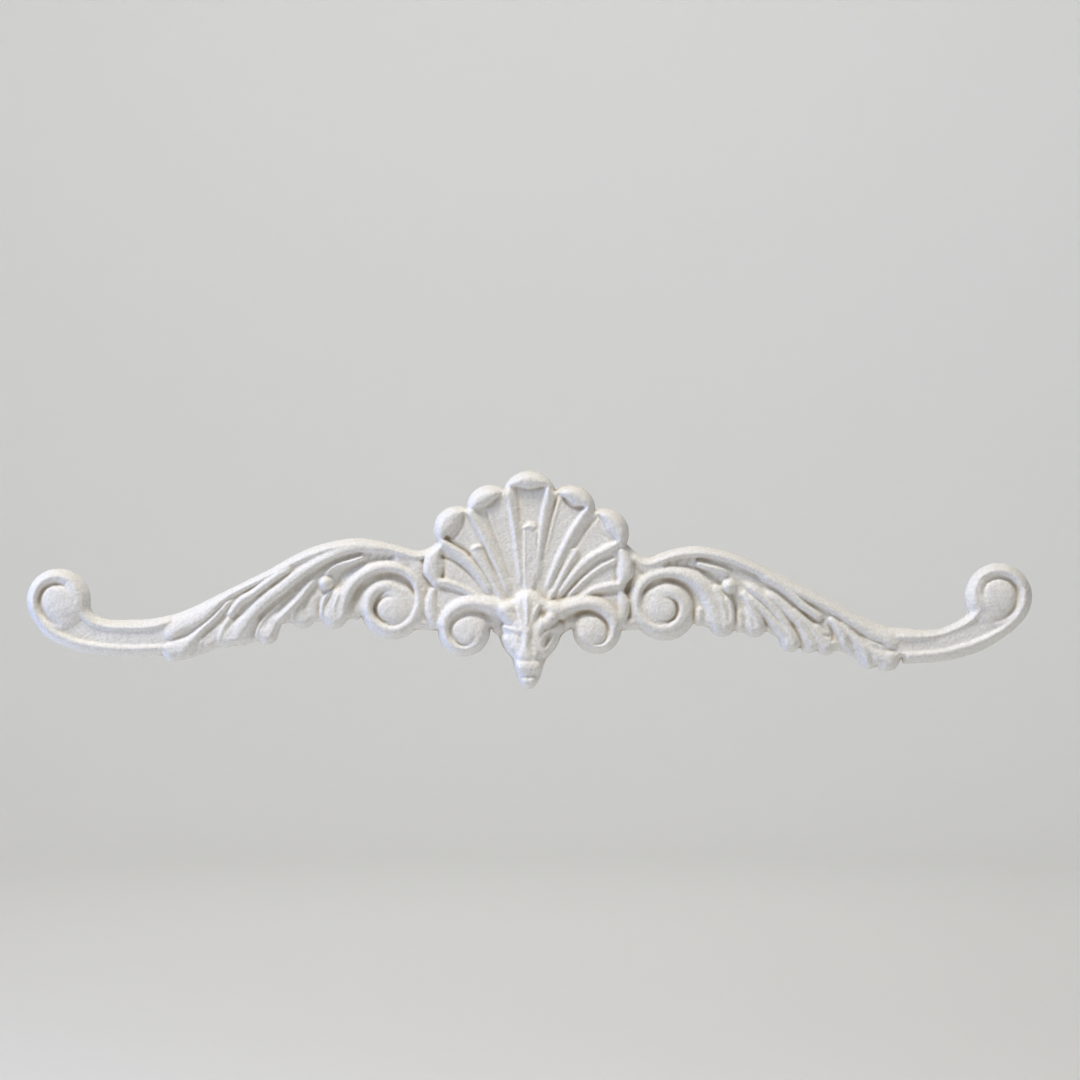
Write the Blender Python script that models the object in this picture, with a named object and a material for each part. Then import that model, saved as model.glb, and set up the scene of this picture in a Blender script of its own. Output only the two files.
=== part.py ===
"""Pediment moulding: a shell over a ram's head, between two leafy wings that end in scrolls.

One casting, flat at the back, modelled as a relief: a height over the wall, worked out at every
point of a grid from named strokes (folds, rolls, grooves, leaf tips, discs and plates). The relief is
cut off at its outline, thinned to the triangles that its forms need, and closed by an upright edge
and a flat back. The wall is the plane Y = 0 and the relief stands out towards -Y.
"""

import bmesh
import bpy
import numpy as np

# Driving dimensions, in metres.
LENGTH = 0.420          # from the outside of one end scroll to the outside of the other
HEIGHT = 0.0913         # from the chin to the top lip of the shell
EDGE = 0.0013           # upright edge round the outline, where the casting meets the wall
GROUND = 0.0048         # floor of the channel in the end bands and of the wings
RIM = 0.0067            # rims of the end bands
LEAF = 0.0072           # crests of the wings
SCROLL = 0.0076         # rolled bands of the large scrolls
SHELL_FLOOR = 0.0066    # floor of the shell's flutes
RIB = 0.0083            # ribs between the flutes
LIP = 0.0095            # rolled lips of the shell
HORN = 0.0099           # horns
HEAD = 0.0146           # muzzle, the highest point
WALL_RUN = 0.0042       # width of the sloped side walls
FALL = 0.0025           # how much lower a fold is at the sides of its crest

# The strokes are written in 420ths of the length and 91.3rds of the height, which are millimetres on
# this piece, and their heights and depths in millimetres.
ACROSS = LENGTH / 420
UPWARD = HEIGHT / 91.3
CELL = 0.8              # grid step
MARGIN = 8              # grid left free round the outline
FACES = 8300            # triangles of the front after thinning


def mm(size):
    """A size in metres as strokes write it."""
    return 1000 * size


def smooth_max(a, b, blend):
    """The larger of two heights, with a rounded valley where they cross."""
    return np.maximum(a, b) + np.maximum(blend - np.abs(a - b), 0) ** 2 / (4 * blend)


def curve(points, count):
    """Even points on a smooth line through the given ones."""
    p = np.asarray(points, float)
    ends = np.vstack([2 * p[0] - p[1], p, 2 * p[-1] - p[-2]])
    t = np.linspace(0, len(p) - 1, count * 4)
    i = np.minimum(t.astype(int), len(p) - 2)
    f = (t - i)[:, None]
    a, b, c, d = ends[i], ends[i + 1], ends[i + 2], ends[i + 3]
    q = b + 0.5 * f * (c - a + f * (2 * a - 5 * b + 4 * c - d + f * (3 * (b - c) + d - a)))
    run = np.concatenate([[0], np.cumsum(np.linalg.norm(np.diff(q, axis=0), axis=1))])
    even = np.linspace(0, run[-1], count)
    return np.stack([np.interp(even, run, q[:, 0]), np.interp(even, run, q[:, 1])], axis=1)


def spread(values, share):
    """Values spaced evenly along a stroke, read at each share of its length."""
    values = np.atleast_1d(np.asarray(values, float))
    return np.interp(share, np.linspace(0, 1, len(values)), values)


def rounded(u, power=2.2, foot=0.5, edge=0.5):
    """Section of a rolled form: 1 in the middle, foot at its sides, and softer with a larger edge."""
    return foot + (1 - foot) * np.clip(1 - np.abs(u) ** power, 0, 1) ** edge


class Relief:
    """Heights over the wall on a grid, and how far each grid point is outside the outline."""

    def __init__(self, low, high):
        self.xs = np.arange(low[0] - MARGIN, high[0] + MARGIN, CELL)
        self.zs = np.arange(low[1] - MARGIN, high[1] + MARGIN, CELL)
        self.x, self.z = np.meshgrid(self.xs, self.zs)
        self.height = np.full(self.x.shape, -5.0)
        self.outside = np.full(self.x.shape, 50.0)
        self.wall_run = np.full(self.x.shape, mm(WALL_RUN))

    def near(self, path, margin):
        """Window of the grid round a path, share along it, distance from it and side of it."""
        path = path[np.append(True, np.linalg.norm(np.diff(path, axis=0), axis=1) > 1e-6)]
        low, high = path.min(0) - margin, path.max(0) + margin
        c0, c1 = np.searchsorted(self.xs, [low[0], high[0]])
        r0, r1 = np.searchsorted(self.zs, [low[1], high[1]])
        window = (slice(r0, r1), slice(c0, c1))
        x, z = self.x[window], self.z[window]
        nearest, share, side = np.full(x.shape, 1e9), np.zeros(x.shape), np.zeros(x.shape)
        steps = np.diff(path, axis=0)
        runs = np.linalg.norm(steps, axis=1)
        start = 0.0
        for (ax, az), (dx, dz), run in zip(path[:-1], steps, runs):
            t = np.clip(((x - ax) * dx + (z - az) * dz) / run**2, 0, 1)
            gap = np.hypot(x - ax - t * dx, z - az - t * dz)
            closer = gap < nearest
            share = np.where(closer, (start + t * run) / runs.sum(), share)
            across = (dx * (z - az) - dz * (x - ax)) / (run * np.maximum(gap, 1e-6))
            side = np.where(closer, across, side)
            nearest = np.minimum(nearest, gap)
            start += run
        return window, share, nearest, side

    def add(self, window, height, blend):
        self.height[window] = smooth_max(self.height[window], height, blend)

    def widen(self, window, outside):
        """Take a form into the outline, with a small fillet where it meets the rest."""
        now = self.outside[window]
        self.outside[window] = np.minimum(now, -smooth_max(-now, -outside, 0.6))

    def finger(self, points, width, top, blend=1.2):
        """The tip of a leaf finger, rounded across and at its end."""
        window, share, gap, _ = self.near(curve(points, 30), max(width) + 2.5)
        width = spread(width, share)
        u = gap / width
        rise = spread(top, share) * rounded(np.minimum(u, 1), 2.6, 0.45)
        self.add(window, np.where(u <= 1, rise, -1), blend)
        self.widen(window, gap - width)

    def roll(self, points, width, top, foot=0.6, blend=0.5, power=2.2, to_outline=False, edge=0.5):
        """A rolled form with clear sides, such as a lip, a horn or a muzzle."""
        window, share, gap, _ = self.near(curve(points, 60), max(width) + 2.5)
        width = spread(width, share)
        u = gap / width
        rise = spread(top, share) * rounded(np.minimum(u, 1), power, foot, edge)
        self.add(window, np.where(u <= 1, rise, -3), blend)
        if to_outline:
            self.widen(window, gap - width)

    def fold(self, points, left, right, top, blend=0.8):
        """A crest with two unlike sides, which sinks into what it lies on at its end."""
        reach = 1.4 * max(np.max(left), np.max(right))
        window, share, gap, side = self.near(curve(points, 14 * len(points)), reach)
        right = spread(right, share)
        width = right + (spread(left, share) - right) * (1 + side) / 2
        sunk = 1.6 * np.clip((share - 0.88) / 0.12, 0, 1) ** 2
        rise = spread(top, share) - sunk - mm(FALL) * (gap / width) ** 2
        self.add(window, np.where(gap < 1.4 * width, rise, -5), blend)

    def groove(self, points, width, depth, power=2.0):
        """A rounded valley cut into what is there."""
        window, share, gap, _ = self.near(curve(points, 10 * len(points)), np.max(width) + 0.5)
        u = np.clip(gap / spread(width, share), 0, 1)
        self.height[window] -= spread(depth, share) * (1 - u * u) ** power

    def disc(self, centre, radius, top, section=None, blend=0.01, to_outline=True):
        """A round form: flat, or with the section given from its middle to its side."""
        gap = np.hypot(self.x - centre[0], self.z - centre[1])
        u = np.minimum(gap / radius, 1)
        rise = top * (section(u) if section else 1.0)
        self.add(..., np.where(gap < 1.1 * radius, rise, -5), blend)
        if to_outline:
            self.widen(..., gap - radius)

    def plate(self, outline, top):
        """A flat form inside a closed outline."""
        loop = np.vstack([outline, outline[:1]])
        window, _, gap, _ = self.near(loop, 6)
        x, z = self.x[window], self.z[window]
        inside = np.zeros(x.shape, bool)
        for (ax, az), (bx, bz) in zip(loop[:-1], loop[1:]):
            if az != bz:
                inside ^= ((az > z) != (bz > z)) & (x < (bx - ax) * (z - az) / (bz - az) + ax)
        gap = np.where(inside, -gap, gap)
        self.height[window] = np.maximum(self.height[window], np.where(gap < 0.8, top, -5))
        self.widen(window, gap)

    def ribbon(self, edge, other_edge, top):
        """A flat form between two smooth edges."""
        self.plate(np.vstack([curve(edge, 60), curve(other_edge, 60)[::-1]]), top)

    def soften(self):
        """Round every height towards the mean of its neighbours, as a mould does."""
        height = np.maximum(self.height, 0)
        for axis in (0, 1):
            a = np.moveaxis(height, axis, 0)
            sides = np.concatenate([a[:1], a[:-1]]) + np.concatenate([a[1:], a[-1:]])
            height = np.moveaxis(0.64 * a + 0.18 * sides, 0, axis)
        self.height = height

    def crossings(self):
        """Points where the outline crosses the grid lines."""
        found = []
        for axis in (0, 1):
            f = np.moveaxis(self.outside, axis, 0)
            x, z = np.moveaxis(self.x, axis, 0), np.moveaxis(self.z, axis, 0)
            cut = (f[:-1] < 0) != (f[1:] < 0)
            t = f[:-1][cut] / (f[:-1][cut] - f[1:][cut])
            found.append(np.stack([x[:-1][cut] + t * (x[1:] - x[:-1])[cut],
                                   z[:-1][cut] + t * (z[1:] - z[:-1])[cut]], axis=1))
        return np.vstack(found)

    def draft(self, edge):
        """Scale the height down to the edge over the last of the way to the outline."""
        points = self.crossings()
        reach = self.wall_run.max() + CELL
        depth = np.full(self.x.shape, reach)
        column = np.round((points[:, 0] - self.xs[0]) / CELL).astype(int)
        row = np.round((points[:, 1] - self.zs[0]) / CELL).astype(int)
        n = int(reach / CELL) + 1
        for i in range(-n, n + 1):
            for j in range(-n, n + 1):
                r = np.clip(row + i, 0, len(self.zs) - 1)
                c = np.clip(column + j, 0, len(self.xs) - 1)
                gap = np.hypot(self.xs[c] - points[:, 0], self.zs[r] - points[:, 1])
                np.minimum.at(depth, (r, c), gap)
        wall = 1 - (1 - np.clip(depth / self.wall_run, 0, 1)) ** 3.2
        self.height = np.where(self.outside < 0, edge + np.maximum(self.height - edge, 0) * wall, edge)

    def sheet(self, edge):
        """Vertices (x, z, height) and faces of the relief inside its outline.

        Each grid square gives the part of it that lies inside: its corners are numbered 0 to 3 and
        the points where the outline cuts its sides 4 to 7, in the same turn.
        """
        f = self.outside
        rows, columns = f.shape
        corner = np.arange(f.size).reshape(f.shape)
        flat = np.stack([self.x.ravel(), self.z.ravel(), self.height.ravel()], axis=1)
        ahead = f[:, :-1] / np.where(f[:, :-1] == f[:, 1:], 1, f[:, :-1] - f[:, 1:])
        above = f[:-1] / np.where(f[:-1] == f[1:], 1, f[:-1] - f[1:])
        ahead, above = np.clip(ahead, 0.12, 0.88), np.clip(above, 0.12, 0.88)
        along = np.stack([self.x[:, :-1] + ahead * CELL, self.z[:, :-1],
                          np.full(ahead.shape, edge)], axis=-1).reshape(-1, 3)
        up = np.stack([self.x[:-1], self.z[:-1] + above * CELL,
                       np.full(above.shape, edge)], axis=-1).reshape(-1, 3)
        side = f.size + np.arange(rows * (columns - 1)).reshape(rows, columns - 1)
        rise = f.size + side.size + np.arange((rows - 1) * columns).reshape(rows - 1, columns)
        ids = np.stack([corner[:-1, :-1], corner[:-1, 1:], corner[1:, 1:], corner[1:, :-1],
                        side[:-1], rise[:, 1:], side[1:], rise[:, :-1]], axis=-1).reshape(-1, 8)
        inside = (f < 0).ravel()[ids[:, :4]]
        case = inside @ np.array([1, 2, 4, 8])
        faces = []
        for pattern in range(1, 16):
            turn = []
            for k in range(4):
                if pattern >> k & 1:
                    turn.append(k)
                if (pattern >> k & 1) != (pattern >> (k + 1) % 4 & 1):
                    turn.append(4 + k)
            saddle = pattern in (5, 10)
            split = [turn[-1:] + turn[:2], turn[2:5]] if pattern == 5 else [turn[:3], turn[3:]]
            for polygon in split if saddle else [turn]:
                for k in range(1, len(polygon) - 1):
                    faces.append(ids[case == pattern][:, [polygon[0], polygon[k], polygon[k + 1]]])
        faces = np.vstack(faces)
        used, faces = np.unique(faces, return_inverse=True)
        return np.vstack([flat, along, up])[used], faces.reshape(-1, 3)


LEFT_END = dict(
    inner_edge=[(-184, 8), (-183.2, 4), (-182, 2), (-180, 0.6), (-174, -0.8), (-158, -0.5), (-150, 1)],
    outer_edge=[(-208.5, 2), (-204, -5.5), (-200, -9), (-190, -13.6), (-180, -15.6), (-166, -16.3),
                (-152, -15.6)],
    centre=(-196.6, 7.25), radius=13.3,
    rim=[(-150, -12.2), (-160, -12.6), (-172, -12.6), (-182, -11.4), (-190, -9.6), (-198, -6),
         (-204.3, -0.4), (-206.4, 6), (-205, 12.4), (-200.8, 16.6), (-195, 17.4), (-190.4, 14.8),
         (-188.4, 10.4), (-188.8, 6), (-191, 2.6), (-194.6, 1.2)],
    outer=[3.2, 3.4, 3.4, 3.2, 3.2, 3.6, 3.0, 2.0], inner=[2.0, 2.0, 2.0, 1.8, 1.6, 1.8, 3.0, 3.0],
    inner_rim=[(-187.6, 3.4), (-185, 0.2), (-181, -2.4), (-175, -3.8), (-166, -4.2), (-158, -3.8),
               (-150, -1.6)],
    inner_sides=([2.8], [1.6]),
    valley=[(-194, -3.4), (-199.6, -1), (-203.4, 3.2), (-204, 8), (-202.2, 12), (-198.8, 14),
            (-194.8, 13.8), (-192, 11.6)],
    eye=(-195.4, 6.5),
    hook=[(-198.8, 5.6), (-198.6, 8.8), (-196, 10), (-193, 8.8)],
)
RIGHT_END = dict(
    inner_edge=[(182, 10), (182.3, 5), (183, 2.3), (181, 0), (175, -3.2), (168, -5), (151, -4)],
    outer_edge=[(209, 4), (207, 0), (204, -3.5), (200, -6.8), (192, -12), (184, -15.5), (172, -18.3),
                (156, -19.3)],
    centre=(195.95, 8.9), radius=13.95,
    rim=[(150, -15.6), (160, -15.4), (172, -14.2), (184, -11), (192, -7.6), (198.6, -3.4), (203.6, 1.6),
         (206, 8), (204.8, 14), (200.4, 18.6), (194, 19.8), (188.2, 17.6), (185.4, 12.6), (186, 7.4),
         (189, 3.6), (193, 2.4)],
    outer=[2.0, 1.8, 1.8, 1.8, 1.6, 1.6, 2.0, 3.0], inner=[3.4, 3.6, 3.4, 3.2, 3.2, 3.4, 3.0, 2.0],
    inner_rim=[(187.4, 3), (184.5, -0.4), (178, -4), (170, -6.8), (162, -8), (152, -7.8)],
    inner_sides=([1.6], [2.8]),
    valley=[(190, -2.6), (197.6, 0.4), (202, 5), (203, 10.6), (200.4, 15.2), (195.4, 17),
            (190.6, 15.4), (188.6, 11.6)],
    eye=(195.2, 8.6),
    hook=[(198.4, 9.6), (196.6, 12.6), (193.4, 12.4), (191.8, 9.4)],
)


def end_scroll(relief, scroll):
    """A channelled band that turns up into a scroll with a round eye."""
    rim = mm(RIM)
    relief.ribbon(scroll["inner_edge"], scroll["outer_edge"], mm(GROUND))
    relief.disc(scroll["centre"], scroll["radius"], rim, lambda u: rounded(u, 5.0, 0.6))
    relief.fold(scroll["rim"], scroll["outer"], scroll["inner"],
                rim * np.array([0.95, 0.97, 1.0, 1.03, 1.08, 1.1, 1.08, 1.06]), 1.0)
    relief.fold(scroll["inner_rim"], *scroll["inner_sides"], rim * np.array([1.0, 0.96, 0.96, 0.98]))
    relief.disc(scroll["eye"], 6.4, 1.1 * rim, lambda u: rounded(u, 3.0, 0.8), 0.8, False)
    relief.groove(scroll["valley"], [1.8, 2.1, 2.2, 2.1, 1.9, 1.6, 1.2],
                  [0.2, 1.3, 2.1, 2.3, 2.1, 1.6, 0.6])
    relief.groove(scroll["hook"], [0.9, 1.1, 1.0, 0.8], [0.2, 0.7, 0.7, 0.2])


LEFT_WING = (
    [(-158, -0.5), (-150, 1), (-140, 4.7), (-130, 9.7), (-110, 19.6), (-100, 25.2), (-92, 29),
     (-84, 31.5), (-73, 33.3), (-62, 32), (-54, 30), (-47, 28.1), (-42, 29.2), (-37, 33)],
    [(-153, -15.5), (-148, -17.4), (-142, -17), (-138, -15.8), (-134, -14), (-130, -12.4),
     (-122, -11.6), (-115.6, -10.4),
     (-108, -6.5), (-102.5, -2.6), (-88, -1.6), (-74.5, -0.6), (-70, 0.5), (-58, 0), (-37, -3)],
)
RIGHT_WING = (
    [(158, -4.9), (150, -3.8), (140, 0.1), (130, 5.3), (110, 15.5), (92, 24.3), (84, 27.4),
     (76, 29.3), (69, 30), (62, 29.2), (54, 26.8), (49, 25), (45, 27.2), (39, 32)],
    [(154, -18.5), (146, -19.5), (138, -18), (131, -14.2), (123, -13.5), (115, -12.5), (107, -10.5),
     (101, -6.8), (97, -5.5), (81, -4.5), (74, -4), (68.5, -2.2), (58, -2), (37, -2)],
)
# Tips of the fingers: points, half-width along them, share of the leaf's height.
LEFT_TIPS = [
    ([(-138, -9), (-148.6, -13.6)], [3.0, 4.9], 0.94),
    ([(-137, -6), (-145, -13.2)], [2.6, 3.6], 0.9),
    ([(-129, -5), (-134, -10.2)], [2.8, 3.6], 0.8),
    ([(-118, -2), (-126.5, -8.2)], [3.6, 4.2], 0.88),
    ([(-115, -1), (-120.5, -7.2)], [3.2, 4.6], 0.88),
    ([(-106, 0), (-109.6, -6.4)], [3.2, 4.8], 0.84),
    ([(-92, 7), (-94.6, 0.8)], [4.4, 5.3], 0.8),
    ([(-79.5, 9), (-80.5, 5), (-81.5, 1)], [3.6, 5.0, 5.6], 0.94),
    ([(-73, 6), (-72.4, 1)], [1.6, 2.0], 0.65),
]
RIGHT_TIPS = [
    ([(138, -10), (149.4, -16.8)], [3.0, 5.5], 0.94),
    ([(136, -9), (142, -17)], [2.6, 4.4], 0.88),
    ([(130, -5), (134.6, -12.3)], [2.8, 3.8], 0.84),
    ([(119, -5), (123.6, -11.4)], [3.6, 4.3], 0.9),
    ([(113, -4), (117, -10)], [3.2, 4.7], 0.86),
    ([(106, -3), (109, -9.4)], [3.2, 4.9], 0.88),
    ([(93, 2.5), (94, -3)], [4.2, 5.2], 0.86),
    ([(88, 2), (88, -3.6)], [2.0, 2.8], 0.8),
    ([(78, 11), (79.6, 4), (80.5, -2.1)], [3.4, 5.4, 5.9], 0.97),
    ([(70.8, 3), (70.8, -1)], [2.0, 2.3], 0.84),
]
# Crests of the folds: points from the tip up, width to the left and to the right, share of LEAF.
LEFT_FOLDS = [
    ([(-148.4, -7), (-145.4, -4.8), (-141, -2.8), (-137, -0.8), (-133, 2.2), (-129, 6), (-125, 9.2),
      (-120, 12.2), (-114, 15.4), (-108, 18.4), (-100, 22.2), (-94, 25), (-88, 27.3), (-82, 29.3),
      (-76, 30.5), (-70, 30.8), (-62, 29.8), (-54, 27.6), (-47, 25.8), (-40, 27)], 5.5, 1.7,
     [0.92, 0.98, 1.02, 1.06, 1.08, 1.04, 0.98]),
    ([(-124.5, 1.8), (-122.3, 5), (-119.5, 7.8), (-116, 9.7), (-112.5, 12.2), (-108.5, 15.2),
      (-104, 18.2), (-98, 21.6)], 2.0, 2.4, [0.95, 1.02, 1.06, 1.08, 1.08]),
    ([(-145.2, -17), (-144.2, -13.5), (-142.3, -10.8), (-139, -7.3), (-135, -3.6), (-131.5, -0.2),
      (-128.5, 3.2), (-126, 6.2), (-122.6, 8.4)], 2.4, 2.1, [0.95, 1.0, 1.0, 0.96, 0.92]),
    ([(-137.2, -12.6), (-136.4, -9.8), (-133.6, -6.8), (-131, -4.6)], 1.0, 1.6, [0.76, 0.84, 0.82, 0.7]),
    ([(-129.4, -10), (-128.6, -6.4), (-126.4, -2), (-124.4, 0.4)], 1.4, 3.0, [0.84, 0.92, 0.92, 0.9]),
    ([(-125.4, -12), (-121.8, -8.4), (-119.4, -4.4), (-116.8, -0.6), (-113.6, 3.1), (-110, 6.6),
      (-106.6, 9.3), (-103, 11.8), (-99.6, 14.6), (-96, 17.5), (-92.5, 20), (-88.8, 22.3),
      (-84.6, 24.6), (-80, 26.6), (-75, 28.2), (-70, 29.1), (-64, 28.6), (-57, 27)], 5.0, 2.1,
     [0.9, 0.98, 1.05, 1.1, 1.12, 1.12, 1.1, 1.04, 1.0]),
    ([(-114, -8.6), (-113.4, -5), (-111.6, -1.4), (-109.2, 1.5), (-106.2, 4.5), (-103, 7.4)], 0.9, 1.4,
     [0.84, 0.92, 0.9, 0.76]),
    ([(-109.6, -10), (-106.8, -5.4), (-104.4, -1.4), (-101.8, 1.8), (-99, 4.6), (-96.2, 7.4),
      (-93.6, 10.4), (-91, 13.6), (-88.6, 16.4)], 2.4, 1.5, [0.84, 0.94, 1.0, 1.0, 0.94]),
    ([(-98.6, -2.4), (-99, 1), (-97.8, 4.3), (-95.8, 6.8)], 0.9, 1.3, [0.8, 0.9, 0.9, 0.78]),
    ([(-84.4, 18.8), (-81.6, 21.2), (-78.2, 22.7), (-74.5, 23.7), (-71, 24.9), (-68.6, 26.2)], 1.0, 1.7,
     [0.92, 1.0, 1.05, 1.06, 1.0]),
    ([(-86.2, -1), (-86.6, 3), (-85.9, 7.2), (-84, 10.2), (-81.6, 11.8)], 0.8, 1.6,
     [0.86, 0.95, 0.97, 0.95]),
    ([(-81.2, 0), (-81.3, 3.8), (-80.5, 7.2), (-78.9, 10.6)], 1.0, 1.2, [0.86, 0.98, 1.03, 1.0]),
]
RIGHT_FOLDS = [
    ([(150.2, -11), (147, -9), (143, -7.6), (139, -5), (135, -2.4), (131, 0.2), (127.4, 2.6), (124, 4.6),
      (120, 6.6), (115, 9), (109, 12.2), (103, 15.6), (96, 19.4), (89, 22.6), (82, 25.2), (76, 26.6),
      (70, 27), (62, 26.2), (54, 23.8), (48, 22.6), (42, 25)], 1.8, 5.5,
     [0.95, 0.98, 1.0, 1.05, 1.08, 1.04, 0.98]),
    ([(120.4, 0.4), (117.6, 2.6), (113.8, 5.4), (110.2, 8.8), (106.2, 12.2), (102, 14.9), (96, 18)],
     2.2, 2.0, [0.98, 1.04, 1.06, 1.06, 1.04]),
    ([(131.6, -11.6), (130.8, -8.4), (129, -5), (126.8, -2.2), (124, 0.2)], 2.2, 3.2,
     [0.86, 0.97, 1.0, 0.98, 0.9]),
    ([(140.6, -17), (139.8, -13.8), (137.6, -10.6), (134.8, -7.6), (131.6, -4.2), (128.6, -1)], 2.4, 2.6,
     [0.92, 1.0, 1.0, 0.95, 0.9]),
    ([(146.4, -21), (145, -17.6), (143, -14.6)], 1.0, 1.8, [0.86, 0.92, 0.9]),
    ([(118.2, -13.6), (117.4, -10.6), (115.4, -7), (113.2, -3.6), (110.4, -0.2), (106.6, 3.8),
      (102.4, 7.8), (98, 11)], 2.2, 3.0, [0.86, 0.96, 1.0, 1.0, 0.98, 0.95]),
    ([(122, -13), (121.4, -10), (120.2, -8), (117.2, -4), (113.4, 0), (109, 4.4)], 1.6, 2.4,
     [0.84, 0.92, 0.96, 0.98, 0.96, 0.92]),
    ([(110.6, -12.8), (109.6, -9), (107.6, -4.6), (105.2, -1), (102.2, 3), (98.6, 7), (94, 11),
      (90, 14)], 2.0, 2.6, [0.84, 0.92, 0.96, 0.98, 1.0, 1.02, 1.02]),
    ([(108.6, -12.4), (106.4, -8), (103.6, -4.2), (100.6, -0.8), (97.4, 2.6), (94, 6), (90.4, 10)],
     2.4, 2.6, [0.84, 0.92, 0.97, 0.98, 0.98, 0.95]),
    ([(95.8, -5), (95.2, -2), (93.8, 1.2), (91.8, 4.6), (90.2, 8.4), (88.6, 11.4)], 1.5, 2.0,
     [0.84, 0.95, 0.98, 0.96, 0.92]),
    ([(92.2, -6), (92.1, -3), (91.4, 0), (90.2, 3)], 0.9, 1.4, [0.82, 0.92, 0.92, 0.84]),
    ([(82, 19), (80, 20.2), (77, 21), (73, 21.9), (69.6, 23)], 1.6, 1.0, [0.9, 1.0, 1.05, 1.0]),
    ([(84.2, -4), (84.4, 1), (83.4, 5.4), (81.4, 9)], 1.2, 1.4, [0.88, 1.0, 1.03, 1.0]),
    ([(81.4, -4), (81.6, 1), (80.6, 5), (78.8, 9)], 1.0, 1.2, [0.9, 1.02, 1.05, 1.04]),
]
# Valleys between them: points, half-width, depth.
LEFT_VALLEYS = [
    ([(-146.4, -9), (-142.6, -7.2), (-138, -4), (-134, -0.8), (-130.6, 2.4), (-127, 6.4), (-122.6, 9.8),
      (-116.4, 13.2)], [1.2], [0.5, 0.9, 1.1, 1.0, 0.8, 0.3]),
    ([(-140, -15), (-139.4, -12), (-137.8, -9.6), (-134.6, -5.4), (-131, -2), (-128, 2)], [1.6],
     [1.2, 1.3, 1.1, 0.9, 0.5]),
    ([(-123, 0.4), (-119.4, 1.8), (-116.6, 4.8), (-113.6, 8), (-110, 11.2), (-105.6, 14.4),
      (-101, 17.8), (-96, 21), (-91, 23.8), (-86, 26.4), (-82, 28)], [1.6],
     [0.8, 1.0, 1.1, 1.1, 0.9, 0.7, 0.6, 0.2]),
    ([(-115, -7), (-114.2, -4), (-112.2, -0.6), (-109.6, 2.2), (-106, 5.6), (-102, 9), (-98, 12.3),
      (-94.5, 15.4), (-91, 18.4), (-87, 21), (-82.5, 23.2), (-77.5, 25.2), (-73, 26.3), (-70.6, 26.6)],
     [1.9], [1.3, 1.5, 1.3, 1.3, 1.4, 1.4, 1.3, 1.2]),
    ([(-110.5, -5), (-108.4, -0.6), (-105.4, 3.1), (-102, 6.4), (-98.6, 9.4)], [1.6], [0.2, 0.9, 1.0, 0.6]),
    ([(-104, -6.5), (-102.6, -2), (-100.6, 0.6)], [1.6], [1.6, 1.8, 1.2]),
    ([(-93.4, 2), (-93, 6.4), (-91.2, 10.6), (-89, 12.6)], [2.4], [0.4, 0.9, 1.1, 1.0]),
    ([(-88, -2), (-88, 3), (-87.6, 8)], [1.2], [1.2, 1.1, 0.9]),
    ([(-84.4, 11.4), (-80.6, 14), (-79.2, 17.2), (-76.6, 19.4), (-73, 21.2), (-69.6, 22.8), (-66, 23.9),
      (-62, 24.3), (-57.6, 24.4)], [2.2, 2.4, 1.9, 1.4, 1.0, 0.8], [1.2, 1.6, 1.6, 1.4, 1.2, 1.0]),
    ([(-75, -1.5), (-75.2, 2), (-75.4, 5)], [1.0], [1.2, 0.8, 0.2]),
]
RIGHT_VALLEYS = [
    ([(151.4, -13), (148, -13.6), (143.4, -12.2), (138.6, -8.8), (134, -5.2), (130.4, -2.2),
      (126.4, 1)], [1.5], [1.0, 1.0, 0.9, 0.8, 0.6, 0.3]),
    ([(126.2, -9.6), (126, -6), (124.8, -2.6), (122.6, -0.8)], [1.3], [1.2, 1.4, 1.1, 0.6]),
    ([(121.8, -0.6), (119.4, -1.2), (116, 0.4), (112.4, 3), (108.8, 6.6), (105, 9.8), (101, 13),
      (96, 16.2), (90, 19.6)], [1.6], [1.2, 1.2, 1.1, 1.1, 1.0, 0.7, 0.3]),
    ([(142, -15.4), (142.8, -17.6), (143.6, -20)], [1.0], [0.6, 1.2, 1.0]),
    ([(136, -16.6), (134.8, -12.6), (132.6, -8.8)], [1.6], [1.2, 1.2, 0.6]),
    ([(124.6, -7.6), (122.6, -7.2)], [1.1], [1.6, 0.8]),
    ([(113.6, -13.4), (113.2, -10.2), (111.6, -6.4), (109.4, -2.6)], [1.4], [1.6, 1.4, 0.9, 0.4]),
    ([(104, -9.4), (101.6, -6.2), (99.4, -3), (98, 0)], [1.4], [1.0, 1.2, 1.1, 0.7]),
    ([(99, -6.6), (98.4, -2.6), (97, 0.8), (94.6, 4.4)], [1.1], [1.6, 1.2, 0.9, 0.4]),
    ([(89.6, -5.6), (89.6, -1), (88.6, 3.6), (87.6, 8)], [1.1], [0.8, 0.9, 0.9, 0.6]),
    ([(86.2, -5), (86, 0), (85.9, 4.8), (84.6, 9.4)], [1.2], [1.6, 1.6, 1.4, 1.2]),
    ([(84.6, 20.2), (82, 21.6), (78.6, 22.8), (74.6, 23.9), (70, 24.6)], [1.0], [0.6, 1.0, 1.2, 1.3]),
    ([(81.4, 11.4), (79, 14.8), (75.6, 17.6), (71, 20.2), (66.6, 21.5), (61, 22)],
     [2.0, 2.0, 1.5, 1.1, 0.9], [1.4, 1.5, 1.3, 1.1, 0.8]),
    ([(73.6, -4), (74.2, 0), (73.8, 4), (73, 7.6)], [1.1], [1.5, 1.4, 1.1, 0.6]),
]


def wing(relief, edges, tips, folds, valleys):
    """One wing: its ground, the tips of its leaf, the crests of its folds and the valleys."""
    leaf = mm(LEAF)
    relief.ribbon(edges[0], edges[1], mm(GROUND))
    for points, width, share in tips:
        relief.finger(points, width, share * leaf)
    for points, left, right, shares in folds:
        relief.fold(points, left, right, leaf * np.array(shares), 0.7)
    for points, width, depth in valleys:
        relief.groove(points, width, depth)


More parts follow.
